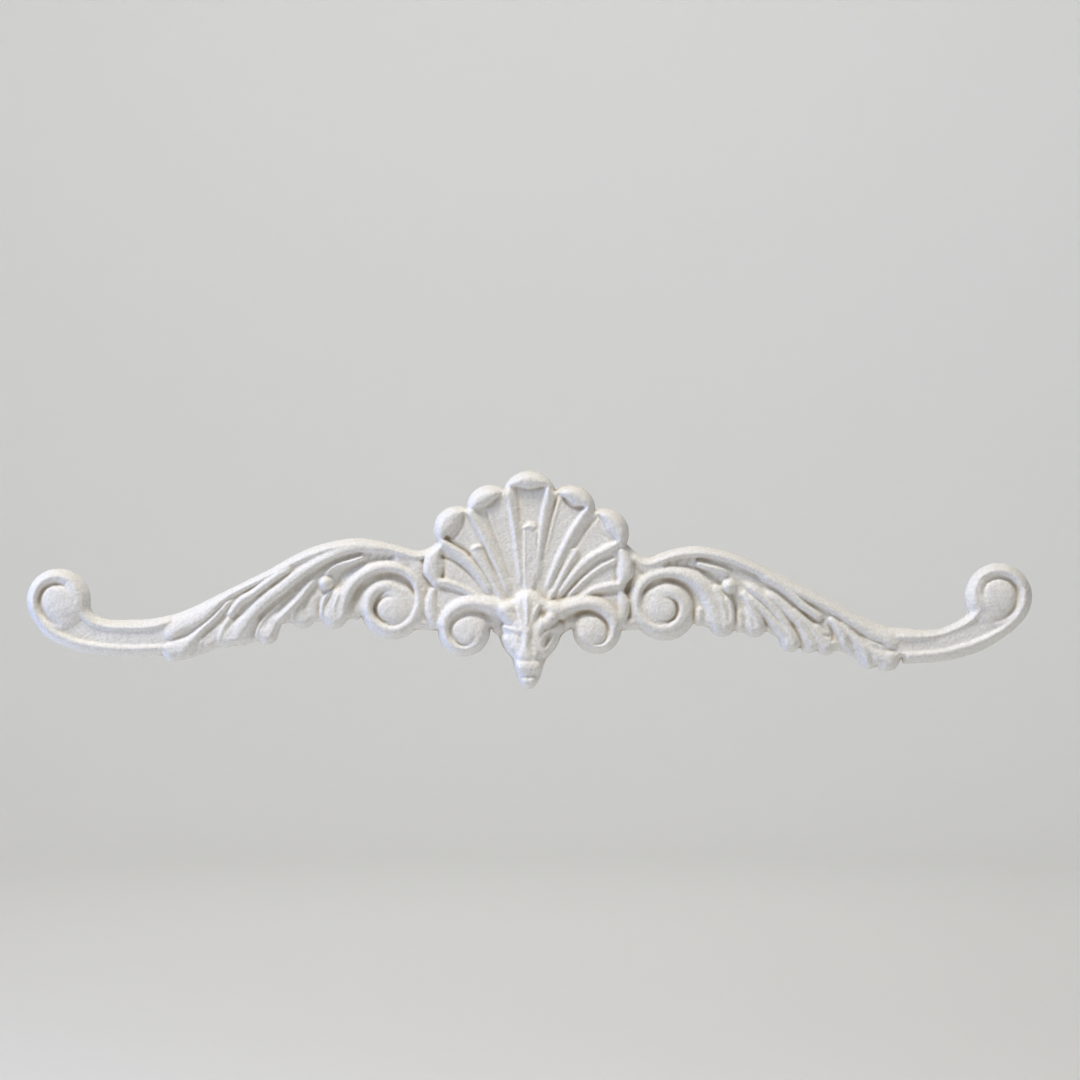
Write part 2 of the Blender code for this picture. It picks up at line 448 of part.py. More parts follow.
LEFT_SCROLL = dict(
    centre=(-57.4, 4.2), radius=13.3,
    crest=[(-77.6, 0), (-77.4, 5), (-76.2, 9.2), (-74.2, 12.9), (-71, 16.4), (-67, 19.1), (-62, 20.7),
           (-57, 20.9), (-52, 19.4), (-48.4, 16.4), (-46.6, 12.2), (-46.3, 8), (-47, 3.8),
           (-49.4, -0.6), (-53, -3.6), (-57.5, -4.6), (-62, -3.2), (-65.8, 0.4), (-67.2, 5),
           (-65.9, 9.6), (-62.6, 12.6), (-58.5, 13.2), (-54.8, 11.6), (-52.6, 8.6), (-53, 5.4)],
    sides=([3.6, 3.4, 3.2, 3.2, 2.6, 2.6, 4.4, 5.0, 3.6, 3.4, 3.2, 3.0],
           [1.9, 1.9, 1.9, 1.9, 2.0, 1.8, 1.8, 1.8, 1.8, 2.6, 3.0, 3.2]),
    cove=[(-73.2, -0.5), (-73.2, 5.6), (-71.2, 10.8), (-67.4, 14.9), (-62.4, 17.2), (-57.2, 17.6),
          (-52.6, 15.8), (-49.6, 12.6), (-48.6, 9.4)],
    valley=[(-55.6, 8.7), (-59, 9), (-61.8, 7.9), (-63.7, 5.5), (-64.4, 2.8), (-63.4, 0.3),
            (-60.8, -1.1), (-57.4, -1.5), (-53.8, -0.9), (-51, 1.2), (-49.4, 4.4), (-49, 7.6)],
    eye=(-57, 4.2),
    bead=(-84.9, 14.6),
)
RIGHT_SCROLL = dict(
    centre=(56.4, 4.0), radius=13.6,
    crest=[(77.4, -3), (77, 1.6), (75.8, 6), (74, 10), (71.4, 13.6), (67.4, 16.6), (62, 18.4),
           (56.6, 18.6), (51.4, 17.2), (47.4, 14.2), (45.2, 10), (44.8, 5), (46.4, 0.4), (49.6, -2.6),
           (53.6, -3.9), (57.8, -3.7), (61.4, -1.5), (63.2, 2), (63, 6), (61, 9.4), (57.4, 11.2),
           (53.8, 10.2), (52.2, 7.2), (53, 4.6)],
    sides=([4.4, 4.2, 3.4, 2.2, 1.9, 1.9, 1.9, 1.9, 1.8, 2.0, 3.0, 3.2],
           [5.0, 4.4, 3.6, 3.2, 3.2, 3.2, 3.2, 4.4, 5.0, 5.5, 4.6, 3.6]),
    cove=[(68.6, -0.6), (68.5, 4.6), (67.2, 9.2), (64.2, 12.9), (60, 15), (55, 15.5), (50.8, 13.8),
          (48, 10.4), (47.4, 6.2)],
    valley=[(56.4, 8.5), (59.2, 7.9), (61.2, 5.8), (61.7, 3), (60.6, 0.3), (57.8, -1.4), (54.4, -1.2),
            (51.6, 0.7), (50.1, 3.8), (50, 7.2)],
    eye=(56.2, 3.9),
    bead=(83.1, 13.3),
)


def large_scroll(relief, scroll):
    """The scroll between a wing and the shell, with the bead that drops from the leaf beside it."""
    top = mm(SCROLL)
    relief.disc(scroll["centre"], scroll["radius"], mm(GROUND))
    relief.fold(scroll["crest"], *scroll["sides"],
                top * np.array([0.92, 0.98, 1.0, 1.0, 0.94, 0.96, 1.0, 1.0, 0.98, 0.95, 0.93, 0.92]))
    relief.disc(scroll["eye"], 6.2, 0.97 * top, lambda u: rounded(u, 2.4, 0.76), 1.0, False)
    relief.groove(scroll["cove"], [1.8, 2.2, 2.3, 2.1, 1.6], [1.2, 1.1, 0.9, 0.8, 0.4])
    relief.groove(scroll["valley"], [1.0, 1.2, 1.5, 1.5, 1.3, 1.2, 1.1, 0.9],
                  [0.4, 1.5, 2.2, 2.2, 1.5, 1.2, 0.9, 0.3])
    relief.disc(scroll["bead"], 3.3, 1.08 * top, lambda u: rounded(u, 2, 0.4), 0.6, False)


SHELL_GROUND = [
    (-38, -3), (-42, 4), (-42.5, 12), (-42.5, 22), (-39, 30), (-36, 40), (-27, 45), (-20, 50),
    (-11, 53), (0, 56), (11, 53), (20, 50), (28, 44.5), (36, 40), (40.5, 30), (43, 22), (42.5, 12),
    (42, 4), (38, -2), (20, -2), (-20, -2),
]
SCALLOPS = [((0, 50.2), 11.3), ((-16.4, 45.6), 9.9), ((-30.2, 36.9), 9.8),
            ((17.2, 45.2), 10.3), ((31.3, 35.4), 10.3)]
# Lips: points, half-width along them, share of LIP.
LIPS = [
    ([(-9.5, 55.8), (-6, 57.2), (0, 57.4), (6, 57.2), (9.5, 55.6)], [1.6, 2.8, 3.9, 2.8, 1.6], 1.02),
    ([(-11.5, 53.8), (-15, 52), (-18.6, 50.2), (-25.3, 46.4)], [1.5, 2.9, 3.8, 1.5], 0.98),
    ([(-27, 45.9), (-31.3, 43), (-34, 40), (-36.4, 36.6), (-37.6, 33)], [1.5, 3.4, 4.4, 3.6, 1.8], 0.96),
    ([(11.5, 53.6), (15.5, 52.4), (19.5, 51), (24, 49), (27, 45.8)], [1.5, 2.6, 4.2, 3.2, 1.5], 0.98),
    ([(29, 44.7), (33.5, 42), (36, 38.8), (38, 35), (38.8, 31)], [1.5, 3.2, 4.4, 3.4, 1.8], 0.96),
    ([(-37.5, 29.6), (-39.6, 26), (-40.2, 20.5), (-39.6, 15.8)], [1.5, 2.6, 3.0, 1.9], 0.86),
    ([(-41.5, 12), (-41.8, 6.5), (-41, 1), (-39, -3.4)], [1.6, 2.2, 2.2, 1.6], 0.8),
    ([(38, 28.2), (40.2, 24), (39.8, 18.5), (38, 13.8)], [1.6, 2.6, 2.9, 1.8], 0.86),
    ([(37.2, 11), (38.8, 6), (38.8, 1), (37.4, -2.6)], [1.6, 2.4, 2.4, 1.6], 0.8),
]
# Ribs: points from the edge to the hinge, width to the left and to the right, share of RIB.
RIBS = [
    ([(-25.6, 44.4), (-21.8, 38), (-18.3, 31.5), (-15.4, 25), (-12.8, 19.4), (-10.4, 13), (-8.6, 8.4)],
     4.2, 1.4, [1.04, 0.99, 0.96, 0.92]),
    ([(-9.8, 52.8), (-7.8, 45), (-6.6, 37), (-5.5, 29), (-4.5, 21), (-3.8, 13)], 3.2, 1.3,
     [1.04, 0.98, 0.95, 0.92]),
    ([(8.2, 54.8), (6.9, 49), (5.7, 43), (4.7, 36), (3.9, 29), (3.1, 22), (2.5, 14)], 3.6, 1.5,
     [1.04, 0.98, 0.95, 0.92]),
    ([(24.8, 46.6), (21.3, 41.5), (17.7, 36), (14.5, 30), (11.7, 24), (9, 17.5), (6.7, 11)], 3.2, 1.9,
     [1.04, 1.0, 0.97, 0.92]),
    ([(35.8, 30.4), (30.6, 27.6), (25.6, 24.8), (21.4, 21.2), (17.6, 16.8), (14, 12), (11.4, 8.4)],
     1.9, 2.6, [1.02, 1.0, 0.97, 0.92]),
    ([(35.5, 24), (31, 21.8), (26.4, 18.8), (22, 15.1), (18.2, 11.3), (15.4, 8.6)], 1.7, 1.6,
     [0.95, 0.94, 0.93, 0.9]),
    ([(37.4, 14), (33, 13.2), (28, 12), (23.6, 10), (19.5, 7.8)], 1.7, 2.3, [1.0, 0.98, 0.94, 0.9]),
    ([(-35.8, 32), (-31, 29), (-27.4, 26.2), (-24, 22.8), (-20.6, 18.6), (-17.6, 13.8), (-15.4, 9.8)],
     1.5, 4.2, [1.03, 1.0, 0.97, 0.93]),
    ([(-37, 15), (-33, 14.2), (-29, 12.8), (-24.6, 10.6), (-20, 8.4)], 2.2, 1.6, [1.0, 0.98, 0.94, 0.9]),
    ([(12.8, 51.6), (10.8, 44), (9, 37), (7.3, 30), (6.1, 24.4)], 2.0, 1.4, [0.88, 0.86, 0.84]),
    ([(-16.6, 43), (-14.5, 36.6), (-11.8, 29.4), (-9.2, 22.4), (-7.2, 15)], 2.0, 1.4, [0.86, 0.86, 0.84]),
]
# Valleys beside the ribs, and the dark inner edges of the lips: points, half-width, depth.
SHELL_VALLEYS = [
    ([(-18, 44.4), (-16.2, 39), (-13.3, 31.8), (-10.6, 24.6), (-8.4, 17)], [1.0], [0.7, 0.6, 0.5]),
    ([(-5.6, 54.6), (-4.4, 47), (-3.7, 40.6)], [1.1], [0.9, 0.7, 0.5]),
    ([(11.9, 51.2), (10, 44.6), (8.2, 37.6), (6.6, 30.6), (5.4, 24)], [1.1], [1.2, 0.8, 0.6]),
    ([(28.6, 42.4), (24, 37.6), (19.6, 31), (15.6, 24.6), (12, 17.8), (9.6, 12)], [1.4], [1.0, 0.9, 0.7]),
    ([(34.6, 25.6), (29.4, 23.6), (24.8, 20), (20.6, 16), (16.8, 11.8), (14.2, 9)], [1.1], [1.1, 0.9, 0.7]),
    ([(-36.6, 25.6), (-32, 23.8), (-27.6, 20.8), (-23.8, 17.2), (-20.4, 12.8), (-18, 9.6)], [1.2],
     [1.2, 1.0, 0.6]),
    ([(-36, 34), (-32.6, 31.6), (-29.4, 29.6), (-26.4, 27.8), (-24.8, 26)], [1.1], [1.4, 1.2, 0.9]),
    ([(-36.4, 12.4), (-30, 10.6), (-25.4, 8.6)], [1.3], [0.8, 0.7, 0.4]),
    ([(36.6, 10.4), (30, 9.6), (24, 8)], [1.3], [0.8, 0.6, 0.4]),
    ([(-6.4, 56.4), (-4, 54.4), (0, 53.4), (4, 53.8), (6.6, 56.2)], [1.0], [1.0, 0.7, 0.7, 1.0]),
    ([(-23.4, 48.8), (-20, 46.6), (-16.6, 46.8), (-13, 50.4)], [1.1], [1.2, 0.8, 0.8, 1.2]),
    ([(-36.4, 34.2), (-32, 33.4), (-29, 36.6), (-27.6, 40.4), (-28, 44)], [1.1], [1.2, 0.9, 0.8, 1.4]),
    ([(13.6, 51.6), (15.6, 47.8), (19, 45.8), (23.4, 45.8)], [1.0], [1.0, 0.8, 0.8, 0.6]),
    ([(29.4, 43), (29.6, 38), (31, 34.8), (34.8, 31.4)], [0.9], [0.8, 0.6, 0.6]),
    ([(-36.4, 26.6), (-35.4, 22), (-36, 17)], [1.1], [0.8, 0.9, 1.6]),
    ([(36.2, 25), (35.6, 19.4), (36.4, 14.6)], [1.0], [0.4, 0.6, 0.8]),
    ([(-38.6, 11), (-38.8, 5), (-37.4, 1)], [1.2], [0.8, 0.8, 0.6]),
    ([(-43.8, 28), (-44, 20), (-44.2, 13)], [1.3], [0.3, 0.4, 0.4]),
    ([(42.6, 20), (41.6, 14), (40.4, 11)], [1.5], [0.4, 1.2, 2.2]),
    ([(41.8, 6), (41.6, 1), (39.4, -1.6)], [1.2], [0.5, 0.9, 1.2]),
]
# Darts between the flutes: points, half-width, share of RIB. Each has two edges and a cap.
DARTS = [
    ([(0.2, 37.2), (0.2, 30), (0.1, 20), (0, 9)], [3.0, 2.6, 2.2, 1.6], 0.92),
    ([(-22, 28.2), (-18.6, 21.8), (-15.8, 16.4), (-11.6, 8)], [2.6, 1.9, 1.5, 1.2], 0.95),
    ([(18.4, 27.2), (15.4, 21.8), (12.6, 16.4), (8.4, 8.4)], [2.3, 1.9, 1.5, 1.2], 0.95),
]
DART_EDGES = [
    ([(-1.9, 36.5), (-1.9, 25), (-1.5, 10)], 1.1, [0.97, 0.98, 0.94]),
    ([(2.6, 36), (2.2, 25), (1.5, 11)], 1.1, [0.95, 0.95, 0.92]),
    ([(-2.2, 37.6), (0, 38.3), (2.4, 37.6)], 1.1, [1.0, 1.04, 1.0]),
    ([(-23.6, 28.6), (-22, 29.6), (-19.8, 29.4)], 1.1, [1.0, 1.04, 0.99]),
    ([(-23.4, 26.6), (-20, 21.6), (-17, 17), (-13.2, 9.4)], 1.0, [0.97, 0.96, 0.93]),
    ([(17.2, 27.8), (18.8, 28.2), (20, 27)], 1.0, [0.98, 1.0, 0.96]),
]
# Webs between the shell and the wings: points and half-width.
WEBS = [
    ([(-54, 25), (-48.6, 23.2), (-46, 17), (-45.2, 8), (-45, -2)], [2.4, 3.2, 2.4, 1.8, 1.6]),
    ([(54, 21.8), (48.6, 21.6), (45.6, 25.4)], [2.4, 3.0, 2.4]),
]


def shell(relief):
    """The fluted fan with its rolled lips, and the webs that join it to the wings."""
    floor, rib, lip = mm(SHELL_FLOOR), mm(RIB), mm(LIP)
    for points, width in WEBS:
        relief.roll(points, width, 0.84 * mm(LEAF), 0.85, 1.2)
    relief.plate(curve(SHELL_GROUND + SHELL_GROUND[:1], 120), floor)
    for centre, radius in SCALLOPS:
        relief.disc(centre, radius, floor)
    for points, left, right, shares in RIBS:
        relief.fold(points, left, right, rib * np.array(shares), 0.5)
    for points, width, share in DARTS:
        relief.roll(points, width, rib * share, 0.8, 0.4, 3.0)
    for points, width, shares in DART_EDGES:
        relief.fold(points, width, width, rib * np.array(shares), 0.4)
    for points, width, depth in SHELL_VALLEYS:
        relief.groove(points, width, depth)
    for points, width, share in LIPS:
        relief.roll(points, width, share * lip * np.array([0.92, 0.98, 1.0, 0.98, 0.92]), 0.55, 1.4, 2.8)


LEFT_HORN = dict(
    centre=(-27.3, -5.2), radius=10.95,
    crest=[(-9, 3.6), (-14, 4.6), (-20, 5.8), (-26, 5.9), (-31, 3.8), (-34.6, 0.2), (-35.6, -4.8),
           (-34.2, -9.4), (-30.4, -12.4), (-25.6, -13), (-21.8, -11.2), (-19.8, -8)],
    valley=[(-14.6, -2), (-18, 1), (-23.6, 2.3), (-28.6, 1), (-32, -2), (-32.8, -5.8), (-31.2, -9),
            (-28.2, -10.9), (-24.8, -10.4), (-22.6, -8.2)],
    eye=(-24.3, -6), eye_radius=7.2,
)
RIGHT_HORN = dict(
    centre=(28.2, -4.8), radius=10.25,
    crest=[(9, 3), (14, 3.8), (20, 5.6), (26, 6), (31, 4), (34.4, 0.2), (35.4, -4.8), (34.2, -9),
           (30.8, -11.6), (26.6, -12.2), (23, -10.6), (21, -7.6)],
    valley=[(13.6, -2.8), (16.6, 0.4), (21.5, 2.3), (26.5, 1.8), (30.2, -0.2), (32.4, -3.6),
            (32.3, -7.4), (30.4, -10.2), (27, -10.8)],
    eye=(25, -6), eye_radius=6.9,
)


def horn(relief, curl):
    """A nearly flat coil, the band that runs out to it from the brow, the dome in its middle and
    the valley that winds between them."""
    top = mm(HORN)
    relief.disc(curl["centre"], curl["radius"], 0.9 * top, lambda u: rounded(u, 4.0, 0.5))
    relief.roll(curl["crest"], [4.8, 4.7, 4.4, 4.0, 3.7, 3.4, 3.1, 2.6],
                top * np.array([1.02, 1.04, 1.02, 0.99, 0.95, 0.93, 0.92, 0.9]), 0.45, 1.4, 2.0,
                edge=0.9)
    relief.disc(curl["eye"], curl["eye_radius"], 0.97 * top, lambda u: rounded(u, 2.2, 0.75, 0.7), 1.2,
                False)
    relief.groove(curl["valley"], [2.8, 2.8, 2.6, 2.2, 1.7, 1.4, 1.2, 1.0],
                  [0.6, 1.0, 1.6, 2.2, 2.6, 2.6, 2.0, 0.6])


HEAD_OUTLINE = [
    (-17, -3), (-15, -6), (-12.8, -8), (-11.6, -11.3), (-9.5, -14.5), (-7.4, -17), (-6.4, -20.5),
    (-5, -25), (-3.4, -28), (0, -29.8), (2.8, -28), (4.6, -24.5), (6, -20), (7.2, -17), (10, -14),
    (12, -10.8), (13.6, -7.2), (16, -5.4), (19, -2.8), (10, 6), (4, 10.6), (-4, 10.6), (-10, 6),
]
HEAD_LINE = [(-0.6, 5.6), (-0.8, 1), (-0.8, -5), (-0.7, -12), (-0.6, -18), (-0.4, -23.5), (-0.2, -25.4)]
# Pads: points, half-width, share of HEAD.
PADS = [
    ([(-11, 4), (-5, 6.4), (-0.6, 7), (4.6, 6.2), (11, 3.6)], [3.6, 3.8, 4.0, 3.8, 3.6], 0.74),
    ([(-10.4, 3.4), (-8.6, 0.4)], [4.8, 4.4], 0.8),
    ([(9.6, 3.6), (12.6, 2.8)], [4.2, 4.0], 0.76),
    ([(7.8, 0), (5.4, -3.2)], [3.3, 3.1], 0.88),
    ([(11, -4.4), (9.4, -8.6), (6.8, -13)], [3.6, 3.6, 3.2], 0.72),
    ([(3.2, -6), (3.6, -10), (5.8, -14.2)], [2.4, 3.0, 3.0], 0.86),
    ([(-12.4, -4.4), (-9, -9.4), (-6.4, -13.6)], [3.8, 4.0, 3.4], 0.7),
    ([(-3, -20.2), (2.2, -20.2)], [4.0], 0.985),
    ([(-1.6, -25.8), (1.2, -25.8)], [3.0], 0.94),
]
# Raised lines of the face: points, half-width, share of HEAD.
FACE_RIDGES = [
    ([(-1, 9), (-1, 2), (-1, -4)], 0.8, [0.84, 0.91, 0.94]),
    ([(-1, -4.5), (-1.4, -10), (-2.2, -13.4), (-3.8, -17)], 1.4, [0.95, 0.97, 0.97, 0.95]),
    ([(-5.2, 4), (-4, 1), (-2.3, -1.8)], 0.8, [0.84, 0.88, 0.9]),
    ([(3.8, 5.2), (2.6, 3.2), (1.6, 0.8)], 0.8, [0.84, 0.9, 0.9]),
    ([(-10.4, -3.4), (-7.8, -4.5), (-5, -5.2)], 0.8, [0.78, 0.84, 0.88]),
    ([(11.2, -4.4), (8.2, -5), (6, -7), (5, -9.6)], 0.9, [0.74, 0.84, 0.88, 0.88]),
    ([(10.2, -8), (8.4, -10.8), (6.8, -13.2)], 0.8, [0.68, 0.74, 0.8]),
    ([(-7.2, -12.6), (-6, -10.8)], 1.2, [0.8, 0.84]),
    ([(-4.6, -25), (-3.4, -27.4)], 0.8, [0.8, 0.76]),
]
# Cut lines of the face: points, half-width, depth.
FACE_GROOVES = [
    ([(-2.8, 6.6), (-2.8, 3), (-1.9, -1)], 1.1, [1.2, 1.0, 0.4]),
    ([(1.2, 7), (0.8, 3), (0.2, -1.6)], 0.9, [1.2, 0.8, 0.4]),
    ([(4.8, 4.4), (3.4, 0.6), (1.6, -3), (1, -8)], 1.1, [1.2, 1.2, 1.0, 1.0]),
    ([(-6, 5), (-5.4, 1), (-3.8, -3)], 1.1, [0.6, 1.0, 0.8]),
    ([(-9.4, -2.2), (-7, -3.2), (-4.4, -3.9)], 0.8, [0.6, 0.9, 0.6]),
    ([(-8.4, -5.9), (-5.8, -6.5), (-3.6, -7.2)], 1.0, [0.6, 1.2, 1.2]),
    ([(-3.8, -7), (-3.6, -10), (-3.8, -12.6)], 1.3, [1.0, 1.3, 0.8]),
    ([(9.8, 1.8), (10.2, -0.8), (8.4, -3.3), (5.6, -5.8), (4.6, -8)], 0.9, [0.9, 1.3, 1.5, 1.2, 0.6]),
    ([(9.8, -6.3), (8.1, -8.5), (6.6, -11.6)], 1.0, [1.4, 2.6, 2.0]),
    ([(0.5, -7), (0.9, -11), (1.2, -16)], 1.2, [0.8, 1.5, 1.3]),
    ([(-6, -14), (-5.2, -16.4)], 1.2, [0.8, 1.2]),
    ([(3.2, -16.6), (5.2, -17.2)], 0.9, [1.0, 1.2]),
    ([(-6.4, -17.2), (0, -17.5), (6.4, -17.2)], 0.9, [0.8, 0.9, 0.8]),
    ([(-4.6, -23.6), (-1, -24), (3.4, -23.7)], 0.8, [1.3, 1.8, 1.3]),
    ([(-0.3, -24.4), (-0.3, -26.6)], 0.7, [0.9, 0.3]),
    ([(-1, -3.8), (-1, -4.3)], 0.8, [1.0]),
]


def head(relief):
    """The ram's head: a long domed form with pads on it, and fine ridges and cuts."""
    top = mm(HEAD)
    relief.plate(curve(HEAD_OUTLINE + HEAD_OUTLINE[:1], 140), 0.4 * top)
    relief.roll(HEAD_LINE, [6.6, 9.4, 10.6, 9.5, 6.9, 6.0, 4.9],
                top * np.array([0.78, 0.84, 0.9, 0.92, 0.97, 0.96, 0.9]), 0.42, 1.6, 2.2)
    for points, width, share in PADS:
        relief.roll(points, width, top * share, 0.5, 1.8, 2.2, edge=0.7)
    for points, width, shares in FACE_RIDGES:
        relief.fold(points, 1.5 * width, 1.5 * width, top * (np.array(shares) - 0.02), 1.1)
    for points, width, depth in FACE_GROOVES:
        relief.groove(points, [1.3 * width], 0.55 * np.array(depth))
    window, _, gap, _ = relief.near(curve(HEAD_LINE[3:], 20), 16)
    run = np.interp(gap, [7, 14], [0.57, 1]) * mm(WALL_RUN)
    relief.wall_run[window] = np.minimum(relief.wall_run[window], run)


def extent():
    """Lowest and highest corner of everything that belongs to the outline."""
    round_forms = list(SCALLOPS)
    for form in (LEFT_END, RIGHT_END, LEFT_SCROLL, RIGHT_SCROLL, LEFT_HORN, RIGHT_HORN):
        round_forms.append((form["centre"], form["radius"]))
    corners = [np.add(centre, sign * radius) for centre, radius in round_forms for sign in (-1, 1)]
    corners += HEAD_OUTLINE + LEFT_END["outer_edge"] + RIGHT_END["outer_edge"]
    corners += LEFT_WING[0] + LEFT_WING[1] + RIGHT_WING[0] + RIGHT_WING[1]
    for points, width, _ in LEFT_TIPS + RIGHT_TIPS:
        corners += [np.add(points[-1], sign * width[-1]) for sign in (-1, 1)]
    return np.min(corners, axis=0), np.max(corners, axis=0)


def carve():
    """Lay every form on the relief, from the ends to the middle."""
    relief = Relief(*extent())
    for scroll in (LEFT_END, RIGHT_END):
        end_scroll(relief, scroll)
    wing(relief, LEFT_WING, LEFT_TIPS, LEFT_FOLDS, LEFT_VALLEYS)
    wing(relief, RIGHT_WING, RIGHT_TIPS, RIGHT_FOLDS, RIGHT_VALLEYS)
    for scroll in (LEFT_SCROLL, RIGHT_SCROLL):
        large_scroll(relief, scroll)
    shell(relief)
    for curl in (LEFT_HORN, RIGHT_HORN):
        horn(relief, curl)
    for x in (-1, 1):
        relief.roll([(48 * x, -2.2), (37 * x, -2.6)], [2.8], 1.2 * mm(GROUND), to_outline=True)
    head(relief)
    relief.soften()
    relief.draft(mm(EDGE))
    return relief


def thinned(vertices, faces, count):
    """The front as a bmesh, thinned to about the number of triangles asked for."""
    mesh = bpy.data.meshes.new("front")
    mesh.from_pydata(vertices, [], faces.tolist())
    sheet = bpy.data.objects.new("front", mesh)
    bpy.context.scene.collection.objects.link(sheet)
    thin = sheet.modifiers.new("thin", "DECIMATE")
    thin.ratio = count / len(faces)
    bm = bmesh.new()
    bm.from_object(sheet, bpy.context.evaluated_depsgraph_get())
    bpy.data.objects.remove(sheet)
    bpy.data.meshes.remove(mesh)
    return bm


def closed(bm):
    """Drop an upright edge from the outline to the wall and close the back."""
    rim = [e for e in bm.edges if e.is_boundary]
    new = bmesh.ops.extrude_edge_only(bm, edges=rim)["geom"]
    foot = [v for v in new if isinstance(v, bmesh.types.BMVert)]
    for vertex in foot:
        vertex.co.y = 0
    back = bmesh.ops.triangle_fill(
        bm, edges=[e for e in new if isinstance(e, bmesh.types.BMEdge) and e.is_boundary],
        use_dissolve=False, normal=(0, 1, 0))
    bmesh.ops.triangulate(bm, faces=bm.faces)
    bmesh.ops.recalc_face_normals(bm, faces=bm.faces)
    return bm


def plaster():
    """Off-white cast resin, matt, as the photograph shows it."""
    material = bpy.data.materials.new("cast_resin")
    material.use_nodes = True
    shader = material.node_tree.nodes["Principled BSDF"]
    shader.inputs["Base Color"].default_value = (0.80, 0.78, 0.73, 1)
    shader.inputs["Roughness"].default_value = 0.55
    shader.inputs["Metallic"].default_value = 0
    return material


def main():
    for thing in list(bpy.data.objects):
        bpy.data.objects.remove(thing)
    relief = carve()
    points, faces = relief.sheet(mm(EDGE))
    scale = np.array([ACROSS, 0.001, UPWARD])
    vertices = np.stack([points[:, 0], -points[:, 2], points[:, 1]], axis=1) * scale
    bm = closed(thinned(vertices, faces, FACES))
    mesh = bpy.data.meshes.new("pediment")
    bm.to_mesh(mesh)
    bm.free()
    mesh.materials.append(plaster())
    pediment = bpy.data.objects.new("pediment", mesh)
    bpy.context.scene.collection.objects.link(pediment)
    print(f"pediment: {len(mesh.polygons)} triangles from a relief of {len(faces)}")


main()
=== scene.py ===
# %% [markdown]
# A pediment moulding in cast resin: a fluted shell over a ram's head, between two leafy wings that
# run out into scrolls. It is made the way a carver would model the master for such a casting: a
# height over the board is built up stroke by stroke, then cut off at the outline. Everything below
# is that one surface, its finish and the light that shows it.

import bpy
import numpy as np
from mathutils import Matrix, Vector


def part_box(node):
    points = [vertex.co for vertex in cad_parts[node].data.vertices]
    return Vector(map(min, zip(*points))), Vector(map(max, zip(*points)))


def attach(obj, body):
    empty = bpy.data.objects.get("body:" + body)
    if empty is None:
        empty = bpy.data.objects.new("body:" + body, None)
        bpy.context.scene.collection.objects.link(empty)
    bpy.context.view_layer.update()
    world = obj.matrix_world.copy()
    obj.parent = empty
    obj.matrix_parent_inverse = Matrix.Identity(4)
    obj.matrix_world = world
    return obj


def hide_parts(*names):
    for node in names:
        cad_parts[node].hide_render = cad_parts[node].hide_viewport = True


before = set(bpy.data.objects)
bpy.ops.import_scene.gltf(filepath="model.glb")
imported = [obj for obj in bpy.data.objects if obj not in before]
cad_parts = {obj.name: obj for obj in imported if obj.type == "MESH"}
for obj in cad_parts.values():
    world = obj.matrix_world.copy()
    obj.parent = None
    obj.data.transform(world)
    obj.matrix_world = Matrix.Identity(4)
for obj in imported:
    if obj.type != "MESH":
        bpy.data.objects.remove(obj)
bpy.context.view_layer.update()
LOW, HIGH = (np.array(corner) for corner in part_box("pediment"))
print("CAD box", LOW, HIGH)

# %% [markdown]
# The strokes are written in 420ths of the length, which are millimetres on a moulding 420 mm long.
# Heights stand out from the flat back. The muzzle is the highest point and takes its height from
# the CAD box, and the other heights are shares of it that the shading of the photograph suggests.

# %% Sizes
SPAN = 420
UNIT = (HIGH[0] - LOW[0]) / SPAN        # metres in a unit
HEAD = (HIGH[1] - LOW[1]) / UNIT        # the muzzle
EDGE = 0.09 * HEAD                      # upright edge all round
GROUND = 0.33 * HEAD
RIM = 0.46 * HEAD
LEAF = 0.49 * HEAD
SCROLL = 0.52 * HEAD
FLOOR = 0.45 * HEAD
RIB = 0.57 * HEAD
LIP = 0.65 * HEAD
HORN = 0.68 * HEAD
WALL_RUN = 4.2                          # how far in the side wall slopes
CELL = 0.4                              # pitch of the grid
print(f"one unit is {UNIT * 1000:.4f} mm, the muzzle stands {HEAD:.1f} units out")

# %% [markdown]
# The surface is a grid of heights. A second grid says how far each point lies outside the outline,
# negative inside it, and a third how far in from the outline the sloped side wall reaches.

# %% The grids
BOARD, FAR = -5.0, 50.0
xs = np.arange(-220, 220, CELL)
zs = np.arange(-42, 74, CELL)
X, Z = np.meshgrid(xs, zs)
height = np.full(X.shape, BOARD)
outside = np.full(X.shape, FAR)
wall_run = np.full(X.shape, WALL_RUN)
print("grid of", X.shape, "points")

# %% [markdown]
# A carver's stroke is a smooth line with a width and a height that change along it. So each stroke
# here is a Catmull-Rom curve through a few points, and every grid point near it learns three things:
# how far away the curve is, how far along it the nearest point lies, and on which side.

# %% Curves and distances
TINY = 1e-6


def curve(points, count):
    """Even points on a Catmull-Rom curve: in each span the cubic that leaves and arrives along the
    line between its neighbours."""
    p = np.asarray(points, float)
    ends = np.vstack([2 * p[0] - p[1], p, 2 * p[-1] - p[-2]])
    t = np.linspace(0, len(p) - 1, count * 4)
    i = np.minimum(t.astype(int), len(p) - 2)
    f = (t - i)[:, None]
    a, b, c, d = ends[i], ends[i + 1], ends[i + 2], ends[i + 3]
    q = b + 0.5 * f * (c - a + f * (2 * a - 5 * b + 4 * c - d + f * (3 * (b - c) + d - a)))
    run = np.concatenate([[0], np.cumsum(np.linalg.norm(np.diff(q, axis=0), axis=1))])
    even = np.linspace(0, run[-1], count)
    return np.stack([np.interp(even, run, q[:, 0]), np.interp(even, run, q[:, 1])], axis=1)


def spread(values, share):
    """Values spaced evenly along a stroke, read at each share of its length."""
    values = np.atleast_1d(np.asarray(values, float))
    return np.interp(share, np.linspace(0, 1, len(values)), values)


